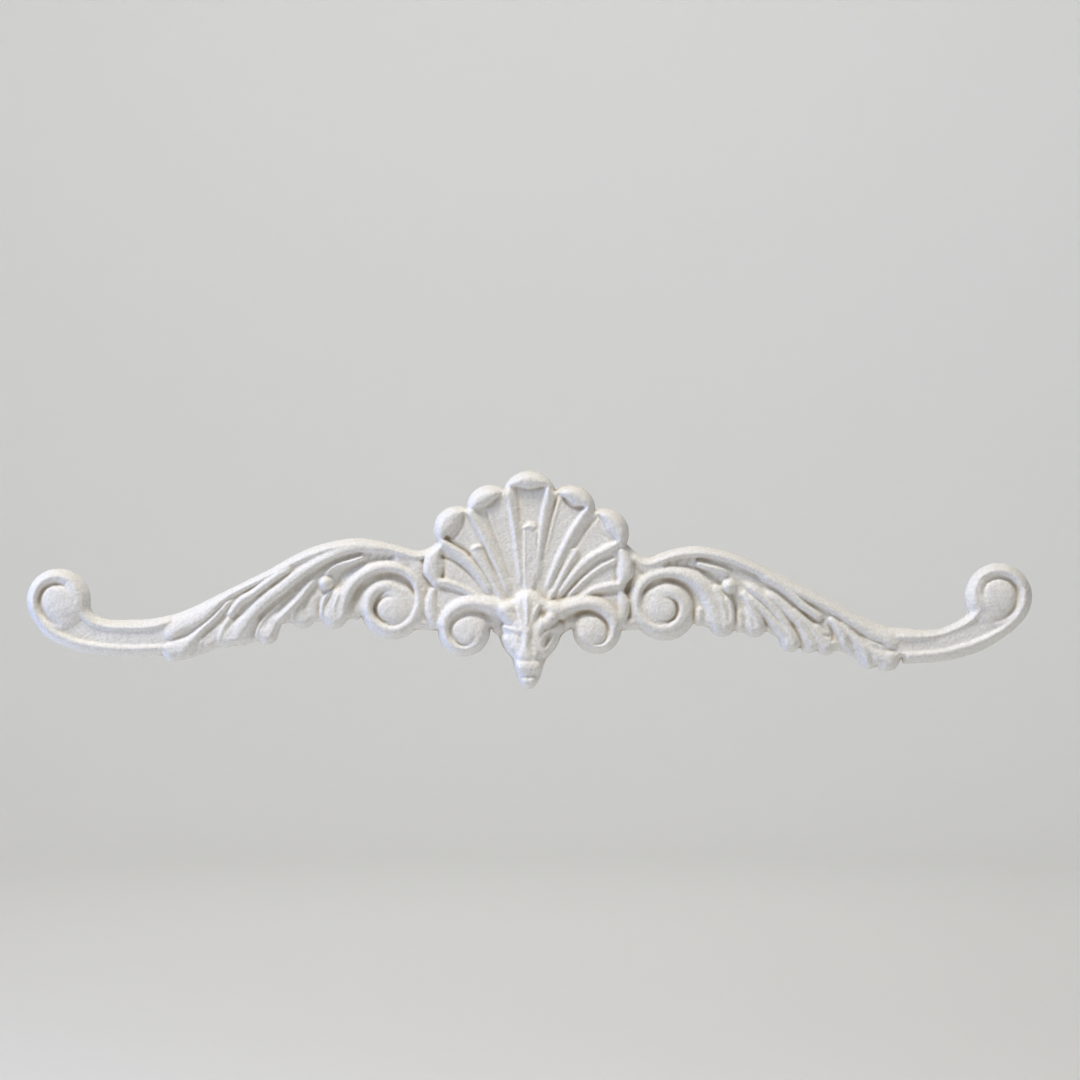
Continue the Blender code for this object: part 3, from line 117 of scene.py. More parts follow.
def near(path, margin):
    """Window of the grid round a path, share along the path, distance from it, and side: 1 on its
    left, -1 on its right and in between round its ends."""
    path = path[np.append(True, np.linalg.norm(np.diff(path, axis=0), axis=1) > TINY)]
    low, high = path.min(0) - margin, path.max(0) + margin
    c0, c1 = np.searchsorted(xs, [low[0], high[0]])
    r0, r1 = np.searchsorted(zs, [low[1], high[1]])
    window = (slice(r0, r1), slice(c0, c1))
    x, z = X[window], Z[window]
    nearest, share, side = np.full(x.shape, np.inf), np.zeros(x.shape), np.zeros(x.shape)
    steps = np.diff(path, axis=0)
    runs = np.linalg.norm(steps, axis=1)
    start = 0.0
    for (ax, az), (dx, dz), run in zip(path[:-1], steps, runs):
        t = np.clip(((x - ax) * dx + (z - az) * dz) / run**2, 0, 1)
        gap = np.hypot(x - ax - t * dx, z - az - t * dz)
        closer = gap < nearest
        share = np.where(closer, (start + t * run) / runs.sum(), share)
        across = (dx * (z - az) - dz * (x - ax)) / (run * np.maximum(gap, TINY))
        side = np.where(closer, across, side)
        nearest = np.minimum(nearest, gap)
        start += run
    return window, share, nearest, side


# %% [markdown]
# Clay laid on clay leaves a small fillet where the two meet. A smooth maximum does the same: it is
# the larger of two heights, plus a little where they are nearly equal.

# %% Strokes
FALL = 2.5              # how much lower the side of a fold is than its crest
FADE = 1.4              # a fold goes on to this many widths
SINK, TAIL = 1.6, 0.12  # how deep its end sinks, over which share of its length
MARGIN = 2.5            # round a stroke that belongs to the outline


def smooth_max(a, b, blend):
    """Larger of a and b, plus the square of what is left of blend over four blends."""
    return np.maximum(a, b) + np.maximum(blend - np.abs(a - b), 0) ** 2 / (4 * blend)


def rounded(u, power=2.2, foot=0.5, edge=0.5):
    """Section of a rolled form: foot at its sides, and over it 1 - |u| to a power, all to the power
    edge. A half makes an ellipse of it, and more than that a softer edge."""
    return foot + (1 - foot) * np.clip(1 - np.abs(u) ** power, 0, 1) ** edge


def widen(window, gap):
    """Takes a form into the outline: the smooth minimum of the two distances."""
    now = outside[window]
    outside[window] = np.minimum(now, -smooth_max(-now, -gap, 0.6))


def finger(points, width, top, blend=1.2):
    """The tip of a leaf finger: rounded across and at its end. It belongs to the outline."""
    window, share, gap, _ = near(curve(points, 30), max(width) + MARGIN)
    width = spread(width, share)
    u = gap / width
    rise = spread(top, share) * rounded(np.minimum(u, 1), 2.6, 0.45)
    height[window] = smooth_max(height[window], np.where(u <= 1, rise, BOARD), blend)
    widen(window, gap - width)


def roll(points, width, top, foot=0.6, blend=0.5, power=2.2, to_outline=False, edge=0.5):
    """A rolled form with clear sides, such as a lip, a horn or a muzzle."""
    window, share, gap, _ = near(curve(points, 60), max(width) + MARGIN)
    width = spread(width, share)
    u = gap / width
    rise = spread(top, share) * rounded(np.minimum(u, 1), power, foot, edge)
    height[window] = smooth_max(height[window], np.where(u <= 1, rise, BOARD), blend)
    if to_outline:
        widen(window, gap - width)


def fold(points, left, right, top, blend=0.8):
    """A crest with two unlike sides: each falls as a parabola, and is FALL lower at its width. Over
    the last eighth of its length the crest sinks into what it lies on."""
    reach = FADE * max(np.max(left), np.max(right))
    window, share, gap, side = near(curve(points, 14 * len(points)), reach)
    right = spread(right, share)
    width = right + (spread(left, share) - right) * (1 + side) / 2
    sunk = SINK * np.clip((share - 1 + TAIL) / TAIL, 0, 1) ** 2
    rise = spread(top, share) - sunk - FALL * (gap / width) ** 2
    height[window] = smooth_max(height[window], np.where(gap < FADE * width, rise, BOARD), blend)


def groove(points, width, depth, power=2.0):
    """A rounded valley: takes depth times one less the square of the distance, to a power."""
    window, share, gap, _ = near(curve(points, 10 * len(points)), np.max(width) + 0.5)
    u = np.clip(gap / spread(width, share), 0, 1)
    height[window] -= spread(depth, share) * (1 - u * u) ** power


def disc(centre, radius, top, section=None, blend=0.01, to_outline=True):
    """A round form: flat, or rounded with the power, foot and edge given as its section."""
    gap = np.hypot(X - centre[0], Z - centre[1])
    u = np.minimum(gap / radius, 1)
    rise = top * (rounded(u, *section) if section else 1)
    height[:] = smooth_max(height, np.where(gap < 1.1 * radius, rise, BOARD), blend)
    if to_outline:
        widen(..., gap - radius)


def plate(outline, top):
    """A flat form inside a closed outline, found by counting the sides that a ray crosses."""
    loop = np.vstack([outline, outline[:1]])
    window, _, gap, _ = near(loop, 6)
    x, z = X[window], Z[window]
    inside = np.zeros(x.shape, bool)
    for (ax, az), (bx, bz) in zip(loop[:-1], loop[1:]):
        if az != bz:
            inside ^= ((az > z) != (bz > z)) & (x < (bx - ax) * (z - az) / (bz - az) + ax)
    gap = np.where(inside, -gap, gap)
    height[window] = np.maximum(height[window], np.where(gap < 0.8, top, BOARD))
    widen(window, gap)


def ribbon(edge, other_edge, top):
    """A flat form between two smooth edges."""
    plate(np.vstack([curve(edge, 60), curve(other_edge, 60)[::-1]]), top)


# %% [markdown]
# At each end a channelled band turns up and in to a scroll. Its rim is one fold that starts beside
# the leaf and winds round the eye, and a valley winds between them. The left and right scrolls of
# the master differ by a few millimetres, so each has its own points. Widths are given for the left
# and the right side of a fold, as one goes along its points.

# %% End scrolls
LEFT_END = dict(
    inner_edge=[(-184, 8), (-183.2, 4), (-182, 2), (-180, 0.6), (-174, -0.8), (-158, -0.5), (-150, 1)],
    outer_edge=[(-208.5, 2), (-204, -5.5), (-200, -9), (-190, -13.6), (-180, -15.6), (-166, -16.3),
                (-152, -15.6)],
    centre=(-196.6, 7.25), radius=13.3,
    rim=[(-150, -12.2), (-160, -12.6), (-172, -12.6), (-182, -11.4), (-190, -9.6), (-198, -6),
         (-204.3, -0.4), (-206.4, 6), (-205, 12.4), (-200.8, 16.6), (-195, 17.4), (-190.4, 14.8),
         (-188.4, 10.4), (-188.8, 6), (-191, 2.6), (-194.6, 1.2)],
    outer=[3.2, 3.4, 3.4, 3.2, 3.2, 3.6, 3, 2], inner=[2, 2, 2, 1.8, 1.6, 1.8, 3, 3],
    inner_rim=[(-187.6, 3.4), (-185, 0.2), (-181, -2.4), (-175, -3.8), (-166, -4.2), (-158, -3.8),
               (-150, -1.6)],
    inner_sides=([2.8], [1.6]),
    valley=[(-194, -3.4), (-199.6, -1), (-203.4, 3.2), (-204, 8), (-202.2, 12), (-198.8, 14),
            (-194.8, 13.8), (-192, 11.6)],
    eye=(-195.4, 6.5),
    merge=(-191.6, 7.8),
)
RIGHT_END = dict(
    inner_edge=[(182, 10), (182.3, 5), (183, 2.3), (181, 0), (175, -3.2), (168, -5), (151, -4)],
    outer_edge=[(209, 4), (207, 0), (204, -3.5), (200, -6.8), (192, -12), (184, -15.5), (172, -18.3),
                (156, -19.3)],
    centre=(195.95, 8.9), radius=13.95,
    rim=[(150, -15.6), (160, -15.4), (172, -14.2), (184, -11), (192, -7.6), (198.6, -3.4), (203.6, 1.6),
         (206, 8), (204.8, 14), (200.4, 18.6), (194, 19.8), (188.2, 17.6), (185.4, 12.6), (186, 7.4),
         (189, 3.6), (193, 2.4)],
    outer=[2, 1.8, 1.8, 1.8, 1.6, 1.6, 2, 3], inner=[3.4, 3.6, 3.4, 3.2, 3.2, 3.4, 3, 2],
    inner_rim=[(187.4, 3), (184.5, -0.4), (178, -4), (170, -6.8), (162, -8), (152, -7.8)],
    inner_sides=([1.6], [2.8]),
    valley=[(190, -2.6), (197.6, 0.4), (202, 5), (203, 10.6), (200.4, 15.2), (195.4, 17),
            (190.8, 15.2), (188.9, 11.4), (189.8, 8)],
    eye=(195.2, 8.6),
    merge=(188.6, 9.4),
)


def end_scroll(scroll):
    """Ground of the band and the scroll, then the rim and the inner rim, a low plate that merges the
    end of the rim into the eye, the eye and the valley."""
    ribbon(scroll["inner_edge"], scroll["outer_edge"], 1.1 * GROUND)
    disc(scroll["centre"], scroll["radius"], RIM, (5, 0.6))
    fold(scroll["rim"], scroll["outer"], scroll["inner"],
         RIM * np.array([0.95, 0.97, 1, 1.03, 1.08, 1.1, 1.08, 1.06]), 1)
    fold(scroll["inner_rim"], *scroll["inner_sides"], RIM * np.array([1, 0.96, 0.96, 0.98]), 0.8)
    disc(scroll["merge"], 6.4, 1.05 * RIM, (5, 0.85), 1.2, False)
    disc(scroll["eye"], 6.4, 1.12 * RIM, (2.4, 0.82), 1, False)
    groove(scroll["valley"], [1.6, 1.9, 2, 1.9, 1.7, 1.5, 1.1], [0.1, 1, 1.8, 2, 1.9, 1.5, 0.4])


for scroll in (LEFT_END, RIGHT_END):
    end_scroll(scroll)
print("bands and end scrolls laid, highest", height.max().round(2))

# %% [markdown]
# Each wing is an acanthus leaf laid along the band. Its fingers overlap like shingles: every one has
# a broad side towards the top of the wing and drops steeply, from a crest, onto the next one down.
# The crests run from the tips at the lower edge up to the shell.

# %% Wings
LEFT_WING = (
    [(-158, -0.5), (-150, 1), (-140, 4.7), (-130, 9.7), (-110, 19.6), (-100, 25.2), (-92, 29),
     (-84, 31.5), (-73, 33.3), (-62, 32), (-54, 30), (-47, 28.1), (-42, 29.2), (-37, 33)],
    [(-153, -15.5), (-148, -17.4), (-142, -17), (-138, -15.8), (-134, -14), (-130, -12.4),
     (-122, -11.6), (-115.6, -10.4),
     (-108, -6.5), (-102.5, -2.6), (-88, -1.6), (-74.5, -0.6), (-70, 0.5), (-58, 0), (-37, -3)],
)
RIGHT_WING = (
    [(158, -4.9), (150, -3.8), (140, 0.1), (130, 5.3), (110, 15.5), (92, 24.3), (84, 27.4),
     (76, 29.3), (69, 30), (62, 29.2), (54, 26.8), (49, 25), (45, 27.2), (39, 32)],
    [(154, -18.5), (146, -19.5), (138, -18), (131, -14.2), (123, -13.5), (115, -12.5), (107, -10.5),
     (101, -6.8), (97, -5.5), (81, -4.5), (74, -4), (68.5, -2.2), (58, -2), (37, -2)],
)
# Tips of the fingers: points, half-width along them, share of the leaf's height.
LEFT_TIPS = [
    ([(-138, -9), (-148.6, -13.6)], [3, 4.9], 0.94),
    ([(-137, -6), (-145, -13.2)], [2.6, 3.6], 0.9),
    ([(-129, -5), (-134, -10.2)], [2.8, 3.6], 0.8),
    ([(-118, -2), (-126.5, -8.2)], [3.6, 4.2], 0.88),
    ([(-115, -1), (-120.5, -7.2)], [3.2, 4.6], 0.88),
    ([(-106, 0), (-109.6, -6.4)], [3.2, 4.8], 0.84),
    ([(-92, 7), (-94.6, 0.8)], [4.4, 5.3], 0.7),
    ([(-79.5, 9), (-80.5, 5), (-81.5, 1)], [3.6, 5, 5.6], 0.94),
    ([(-73, 6), (-72.4, 1)], [1.6, 2], 0.65),
]
RIGHT_TIPS = [
    ([(138, -10), (149.4, -16.8)], [3, 5.5], 0.94),
    ([(136, -9), (142, -17)], [2.6, 4.4], 0.88),
    ([(130, -5), (134.6, -12.3)], [2.8, 3.8], 0.84),
    ([(119, -5), (123.6, -11.4)], [3.6, 4.3], 0.9),
    ([(113, -4), (117, -10)], [3.2, 4.7], 0.86),
    ([(106, -3), (109, -9.4)], [3.2, 4.9], 0.88),
    ([(93, 2.5), (94, -3)], [4.2, 5.2], 0.86),
    ([(88, 2), (88, -3.6)], [2, 2.8], 0.8),
    ([(78, 11), (79.6, 4), (80.5, -2.1)], [3.4, 5.4, 5.9], 0.97),
    ([(70.8, 3), (70.8, -1)], [2, 2.3], 0.84),
]
# Crests of the folds: points from the tip up, width to the left and to the right, share of LEAF.
LEFT_FOLDS = [
    ([(-148.4, -7), (-145.4, -4.8), (-141, -2.8), (-137, -0.8), (-133, 2.2), (-129, 6), (-125, 9.2),
      (-120, 12.2), (-114, 15.4), (-108, 18.4), (-100, 22.2), (-94, 25), (-88, 27.3), (-82, 29.3),
      (-76, 30.5), (-70, 30.8), (-62, 29.8), (-54, 27.6), (-47, 25.8), (-40, 27)], 5.5, 1.7,
     [0.92, 0.98, 1.02, 1.06, 1.08, 1.04, 0.98]),
    ([(-124.5, 1.8), (-122.3, 5), (-119.5, 7.8), (-116, 9.7), (-112.5, 12.2), (-108.5, 15.2),
      (-104, 18.2), (-98, 21.6)], 2, 2.4, [0.95, 1.02, 1.06, 1.08, 1.08]),
    ([(-145.2, -17), (-144.2, -13.5), (-142.3, -10.8), (-139, -7.3), (-135, -3.6), (-131.5, -0.2),
      (-128.5, 3.2), (-126, 6.2), (-122.6, 8.4)], 2.4, 2.1, [0.95, 1, 1, 0.96, 0.92]),
    ([(-137.2, -12.6), (-136.4, -9.8), (-133.6, -6.8), (-131, -4.6)], 1, 1.6, [0.76, 0.84, 0.82, 0.7]),
    ([(-129.4, -10), (-128.6, -6.4), (-126.4, -2), (-124.4, 0.4)], 1.4, 3, [0.84, 0.92, 0.92, 0.9]),
    ([(-125.4, -12), (-121.8, -8.4), (-119.4, -4.4), (-116.8, -0.6), (-113.6, 3.1), (-110, 6.6),
      (-106.6, 9.3), (-103, 11.8), (-99.6, 14.6), (-96, 17.5), (-92.5, 20), (-88.8, 22.3),
      (-84.6, 24.6), (-80, 26.6), (-75, 28.2), (-70, 29.1), (-64, 28.6), (-57, 27)], 5, 2.1,
     [0.9, 0.98, 1.05, 1.1, 1.12, 1.12, 1.1, 1.04, 1]),
    ([(-114, -8.6), (-113.4, -5), (-111.6, -1.4), (-109.2, 1.5), (-106.2, 4.5), (-103, 7.4)], 0.9, 1.4,
     [0.84, 0.92, 0.9, 0.76]),
    ([(-109.6, -10), (-106.8, -5.4), (-104.4, -1.4), (-101.8, 1.8), (-99, 4.6), (-96.2, 7.4),
      (-93.6, 10.4), (-91, 13.6), (-88.6, 16.4)], 2.4, 1.5, [0.84, 0.94, 1, 1, 0.94]),
    ([(-98.6, -2.4), (-99, 1), (-97.8, 4.3), (-95.8, 6.8)], 0.9, 1.3, [0.8, 0.9, 0.9, 0.78]),
    ([(-84.4, 18.8), (-81.6, 21.2), (-78.2, 22.7), (-74.5, 23.7), (-71, 24.9), (-68.6, 26.2)], 1, 1.7,
     [0.92, 1, 1.05, 1.06, 1]),
    ([(-86.2, -1), (-86.6, 3), (-85.9, 7.2), (-84, 10.2), (-81.6, 11.8)], 0.8, 1.6,
     [0.86, 0.95, 0.97, 0.95]),
    ([(-81.2, 0), (-81.3, 3.8), (-80.5, 7.2), (-78.9, 10.6)], 1, 1.2, [0.86, 0.98, 1.03, 1]),
]
RIGHT_FOLDS = [
    ([(150.2, -11), (147, -9), (143, -7.6), (139, -5), (135, -2.4), (131, 0.2), (127.4, 2.6), (124, 4.6),
      (120, 6.6), (115, 9), (109, 12.2), (103, 15.6), (96, 19.4), (89, 22.6), (82, 25.2), (76, 26.6),
      (70, 27), (62, 26.2), (54, 23.8), (48, 22.6), (42, 25)], 1.8, 5.5,
     [0.95, 0.98, 1, 1.05, 1.08, 1.04, 0.98]),
    ([(120.4, 0.4), (117.6, 2.6), (113.8, 5.4), (110.2, 8.8), (106.2, 12.2), (102, 14.9), (96, 18)],
     2.2, 2, [0.98, 1.04, 1.06, 1.06, 1.04]),
    ([(131.6, -11.6), (130.8, -8.4), (129, -5), (126.8, -2.2), (124, 0.2)], 2.2, 3.2,
     [0.86, 0.97, 1, 0.98, 0.9]),
    ([(140.6, -17), (139.8, -13.8), (137.6, -10.6), (134.8, -7.6), (131.6, -4.2), (128.6, -1)], 2.4, 2.6,
     [0.92, 1, 1, 0.95, 0.9]),
    ([(146.4, -21), (145, -17.6), (143, -14.6)], 1, 1.8, [0.86, 0.92, 0.9]),
    ([(118.2, -13.6), (117.4, -10.6), (115.4, -7), (113.2, -3.6), (110.4, -0.2), (106.6, 3.8),
      (102.4, 7.8), (98, 11)], 2.2, 3, [0.86, 0.96, 1, 1, 0.98, 0.95]),
    ([(122, -13), (121.4, -10), (120.2, -8), (117.2, -4), (113.4, 0), (109, 4.4)], 1.6, 2.4,
     [0.84, 0.92, 0.96, 0.98, 0.96, 0.92]),
    ([(110.6, -12.8), (109.6, -9), (107.6, -4.6), (105.2, -1), (102.2, 3), (98.6, 7), (94, 11),
      (90, 14)], 2, 2.6, [0.84, 0.92, 0.96, 0.98, 1, 1.02, 1.02]),
    ([(108.6, -12.4), (106.4, -8), (103.6, -4.2), (100.6, -0.8), (97.4, 2.6), (94, 6), (90.4, 10)],
     2.4, 2.6, [0.84, 0.92, 0.97, 0.98, 0.98, 0.95]),
    ([(95.8, -5), (95.2, -2), (93.8, 1.2), (91.8, 4.6), (90.2, 8.4), (88.6, 11.4)], 1.5, 2,
     [0.84, 0.95, 0.98, 0.96, 0.92]),
    ([(92.2, -6), (92.1, -3), (91.4, 0), (90.2, 3)], 0.9, 1.4, [0.82, 0.92, 0.92, 0.84]),
    ([(82, 19), (80, 20.2), (77, 21), (73, 21.9), (69.6, 23)], 1.6, 1, [0.9, 1, 1.05, 1]),
    ([(84.2, -4), (84.4, 1), (83.4, 5.4), (81.4, 9)], 1.2, 1.4, [0.88, 1, 1.03, 1]),
    ([(81.4, -4), (81.6, 1), (80.6, 5), (78.8, 9)], 1, 1.2, [0.9, 1.02, 1.05, 1.04]),
]
# Valleys between them: points, half-width, depth.
LEFT_VALLEYS = [
    ([(-146.4, -9), (-142.6, -7.2), (-138, -4), (-134, -0.8), (-130.6, 2.4), (-127, 6.4), (-122.6, 9.8),
      (-116.4, 13.2)], 1.2, [0.5, 0.9, 1.1, 1, 0.8, 0.3]),
    ([(-140, -15), (-139.4, -12), (-137.8, -9.6), (-134.6, -5.4), (-131, -2), (-128, 2)], 1.6,
     [1.2, 1.3, 1.1, 0.9, 0.5]),
    ([(-123, 0.4), (-119.4, 1.8), (-116.6, 4.8), (-113.6, 8), (-110, 11.2), (-105.6, 14.4),
      (-101, 17.8), (-96, 21), (-91, 23.8), (-86, 26.4), (-82, 28)], 1.6,
     [0.8, 1, 1.1, 1.1, 0.9, 0.7, 0.6, 0.2]),
    ([(-115, -7), (-114.2, -4), (-112.2, -0.6), (-109.6, 2.2), (-106, 5.6), (-102, 9), (-98, 12.3),
      (-94.5, 15.4), (-91, 18.4), (-87, 21), (-82.5, 23.2), (-77.5, 25.2), (-73, 26.3), (-70.6, 26.6)],
     1.9, [1.3, 1.5, 1.3, 1.3, 1.4, 1.4, 1.3, 1.2]),
    ([(-110.5, -5), (-108.4, -0.6), (-105.4, 3.1), (-102, 6.4), (-98.6, 9.4)], 1.6, [0.2, 0.9, 1, 0.6]),
    ([(-104, -6.5), (-102.6, -2), (-100.6, 0.6)], 1.6, [1.6, 1.8, 1.2]),
    ([(-93.4, 2), (-93, 6.4), (-91.2, 10.6), (-89, 12.6)], 2.4, [0.4, 0.9, 1.1, 1]),
    ([(-88, -2), (-88, 3), (-87.6, 8)], 1.2, [1.2, 1.1, 0.9]),
    ([(-84.4, 11.4), (-80.6, 14), (-79.2, 17.2), (-76.6, 19.4), (-73, 21.2), (-69.6, 22.8), (-66, 23.9),
      (-62, 24.3), (-57.6, 24.4)], [2.2, 2.4, 1.9, 1.4, 1, 0.8], [1.2, 1.6, 1.6, 1.4, 1.2, 1]),
    ([(-75, -1.5), (-75.2, 2), (-75.4, 5)], 1, [1.2, 0.8, 0.2]),
]
RIGHT_VALLEYS = [
    ([(151.4, -13), (148, -13.6), (143.4, -12.2), (138.6, -8.8), (134, -5.2), (130.4, -2.2),
      (126.4, 1)], 1.5, [1, 1, 0.9, 0.8, 0.6, 0.3]),
    ([(126.2, -9.6), (126, -6), (124.8, -2.6), (122.6, -0.8)], 1.3, [1.2, 1.4, 1.1, 0.6]),
    ([(121.8, -0.6), (119.4, -1.2), (116, 0.4), (112.4, 3), (108.8, 6.6), (105, 9.8), (101, 13),
      (96, 16.2), (90, 19.6)], 1.6, [1.2, 1.2, 1.1, 1.1, 1, 0.7, 0.3]),
    ([(142, -15.4), (142.8, -17.6), (143.6, -20)], 1, [0.6, 1.2, 1]),
    ([(136, -16.6), (134.8, -12.6), (132.6, -8.8)], 1.6, [1.2, 1.2, 0.6]),
    ([(124.6, -7.6), (122.6, -7.2)], 1.1, [1.6, 0.8]),
    ([(113.6, -13.4), (113.2, -10.2), (111.6, -6.4), (109.4, -2.6)], 1.4, [1.6, 1.4, 0.9, 0.4]),
    ([(104, -9.4), (101.6, -6.2), (99.4, -3), (98, 0)], 1.4, [1, 1.2, 1.1, 0.7]),
    ([(99, -6.6), (98.4, -2.6), (97, 0.8), (94.6, 4.4)], 1.1, [1.6, 1.2, 0.9, 0.4]),
    ([(89.6, -5.6), (89.6, -1), (88.6, 3.6), (87.6, 8)], 1.1, [0.8, 0.9, 0.9, 0.6]),
    ([(86.2, -5), (86, 0), (85.9, 4.8), (84.6, 9.4)], 1.2, [1.6, 1.6, 1.4, 1.2]),
    ([(84.6, 20.2), (82, 21.6), (78.6, 22.8), (74.6, 23.9), (70, 24.6)], 1, [0.6, 1, 1.2, 1.3]),
    ([(81.4, 11.4), (79, 14.8), (75.6, 17.6), (71, 20.2), (66.6, 21.5), (61, 22)],
     [2, 2, 1.5, 1.1, 0.9], [1.4, 1.5, 1.3, 1.1, 0.8]),
    ([(73.6, -4), (74.2, 0), (73.8, 4), (73, 7.6)], 1.1, [1.5, 1.4, 1.1, 0.6]),
]
# Serrations over the scroll: foot and head of each small cut.
LEFT_TEETH = [((-67, 24.8), (-65.8, 26.8)), ((-63.8, 24.8), (-62, 26.6)), ((-61, 24.8), (-59.4, 26.6)),
              ((-58.2, 24.8), (-56.8, 26.4))]
RIGHT_TEETH = [((69, 22.8), (70, 24.4)), ((65.4, 22.4), (67, 24.8)), ((61.4, 22.6), (63.2, 25)),
               ((57.8, 22.6), (58.6, 24.8))]


def wing(edges, tips, folds, valleys, teeth):
    """Ground between the two edges, then the tips, the folds and the valleys."""
    ribbon(edges[0], edges[1], GROUND)
    for points, width, share in tips:
        finger(points, width, share * LEAF)
    for *sides, shares in folds:
        fold(*sides, LEAF * np.array(shares), 0.7)
    for points, width, depth in valleys:
        groove(points, width, 0.82 * np.array(depth))
    for foot, head in teeth:
        groove([foot, head], [0.8], [0.9, 0.5])


wing(LEFT_WING, LEFT_TIPS, LEFT_FOLDS, LEFT_VALLEYS, LEFT_TEETH)
wing(RIGHT_WING, RIGHT_TIPS, RIGHT_FOLDS, RIGHT_VALLEYS, RIGHT_TEETH)
print("wings laid, highest", height.max().round(2))

# %% [markdown]
# Beside the shell each wing rolls into a large scroll. One crest winds in for almost two turns, with
# a broad slope outside it and a steep one inside, and ends as a low boss. A bead drops from the leaf
# next to it.

# %% Large scrolls
LEFT_SCROLL = dict(
    centre=(-57.4, 4.2), radius=13.3,
    crest=[(-77.6, 0), (-77.4, 5), (-76.2, 9.2), (-74.2, 12.9), (-71, 16.4), (-67, 19.1), (-62, 20.7),
           (-57, 20.9), (-52, 19.4), (-48.4, 16.4), (-46.6, 12.2), (-46.3, 8), (-47, 3.8),
           (-49.4, -0.6), (-53, -3.6), (-57.5, -4.6), (-62, -3.2), (-65.8, 0.4), (-67.2, 5),
           (-65.9, 9.6), (-62.6, 12.6), (-58.5, 13.2), (-54.8, 11.6), (-52.6, 8.6), (-53, 5.4)],
    sides=([3.6, 3.4, 3.2, 3.2, 2.6, 2.6, 4.4, 5, 3.6, 3.4, 3.2, 3],
           [1.9, 1.9, 1.9, 1.9, 2, 1.8, 1.8, 1.8, 1.8, 2.6, 3, 3.2]),
    cove=[(-73.2, -0.5), (-73.2, 5.6), (-71.2, 10.8), (-67.4, 14.9), (-62.4, 17.2), (-57.2, 17.6),
          (-52.6, 15.8), (-49.6, 12.6), (-48.6, 9.4)],
    valley=[(-56, 8.6), (-59, 8.9), (-61.8, 7.9), (-63.7, 5.5), (-64.2, 2.8), (-63, 0.3),
            (-60.6, -1), (-57.4, -1.4)],
    eye=(-57, 4.2), plate=(-54.4, 5.2),
    bead=(-84.9, 14.6),
)
RIGHT_SCROLL = dict(
    centre=(56.4, 4), radius=13.6,
    crest=[(77.4, -3), (77, 1.6), (75.8, 6), (74, 10), (71.4, 13.6), (67.4, 16.6), (62, 18.4),
           (56.6, 18.6), (51.4, 17.2), (47.4, 14.2), (45.2, 10), (44.8, 5), (46.4, 0.4), (49.6, -2.6),
           (53.6, -3.9), (57.8, -3.7), (61.4, -1.5), (63.2, 2), (63, 6), (61, 9.4), (57.4, 11.2),
           (53.8, 10.2), (52.2, 7.2), (53, 4.6)],
    sides=([4.4, 4.2, 3.4, 2.2, 1.9, 1.9, 1.9, 1.9, 1.8, 2, 3, 3.2],
           [5, 4.4, 3.6, 3.2, 3.2, 3.2, 3.2, 4.4, 5, 5.5, 4.6, 3.6]),
    cove=[(68.6, -0.6), (68.5, 4.6), (67.2, 9.2), (64.2, 12.9), (60, 15), (55, 15.5), (50.8, 13.8),
          (48, 10.4), (47.4, 6.2)],
    valley=[(56.4, 8.4), (59.2, 7.8), (61.1, 5.8), (61.5, 3), (60.4, 0.4), (57.8, -1.2), (54.8, -1.2)],
    eye=(56.2, 3.9), plate=(53.6, 4.8),
    bead=(83.1, 13.3),
)


def large_scroll(scroll):
    """Ground, the crest that winds in, a flat plate at its end, the boss on it, the cove and the
    valley that part them, the bead."""
    disc(scroll["centre"], scroll["radius"], GROUND)
    fold(scroll["crest"], *scroll["sides"],
         SCROLL * np.array([0.92, 0.98, 1, 1, 0.94, 0.96, 1, 1, 0.98, 0.95, 0.93, 0.92]), 0.8)
    disc(scroll["plate"], 7.4, 0.86 * SCROLL, (4, 0.9), 1.2, False)
    disc(scroll["eye"], 6.4, 0.97 * SCROLL, (2.4, 0.84), 1.2, False)
    groove(scroll["cove"], [1.8, 2.2, 2.3, 2.1, 1.6], [1.2, 1.1, 0.9, 0.8, 0.4])
    groove(scroll["valley"], [0.9, 1.3, 1.5, 1.5, 1.4, 1.2, 0.9],
           [0.3, 1.3, 1.9, 2, 1.8, 1.3, 0.4])
    disc(scroll["bead"], 3.3, 1.08 * SCROLL, (2, 0.4), 0.6, False)


for scroll in (LEFT_SCROLL, RIGHT_SCROLL):
    large_scroll(scroll)
print("large scrolls laid, highest", height.max().round(2))

# %% [markdown]
# The shell is a fan of flat-floored flutes. A rib stands at one side of each flute and slopes off
# into a narrow valley on the other side. All run together at the hinge behind the head, and at the
# scalloped edge the casting rolls over forward into puffy lips.

# %% Shell
SHELL_GROUND = [
    (-37, -3), (-39.6, 4), (-39, 12), (-40.4, 20), (-38.6, 30), (-36, 40), (-27, 45), (-20, 50),
    (-11, 53), (0, 56), (11, 53), (20, 50), (28, 44.5), (36, 40), (40, 30), (40.4, 21), (38.4, 12),
    (38.6, 4), (36.6, -2), (20, -2), (-20, -2),
]
SCALLOPS = [((0, 50.2), 11.3), ((-16.4, 45.6), 9.9), ((-30.2, 36.9), 9.8),
            ((17.2, 45.2), 10.3), ((31.3, 35.4), 10.3)]
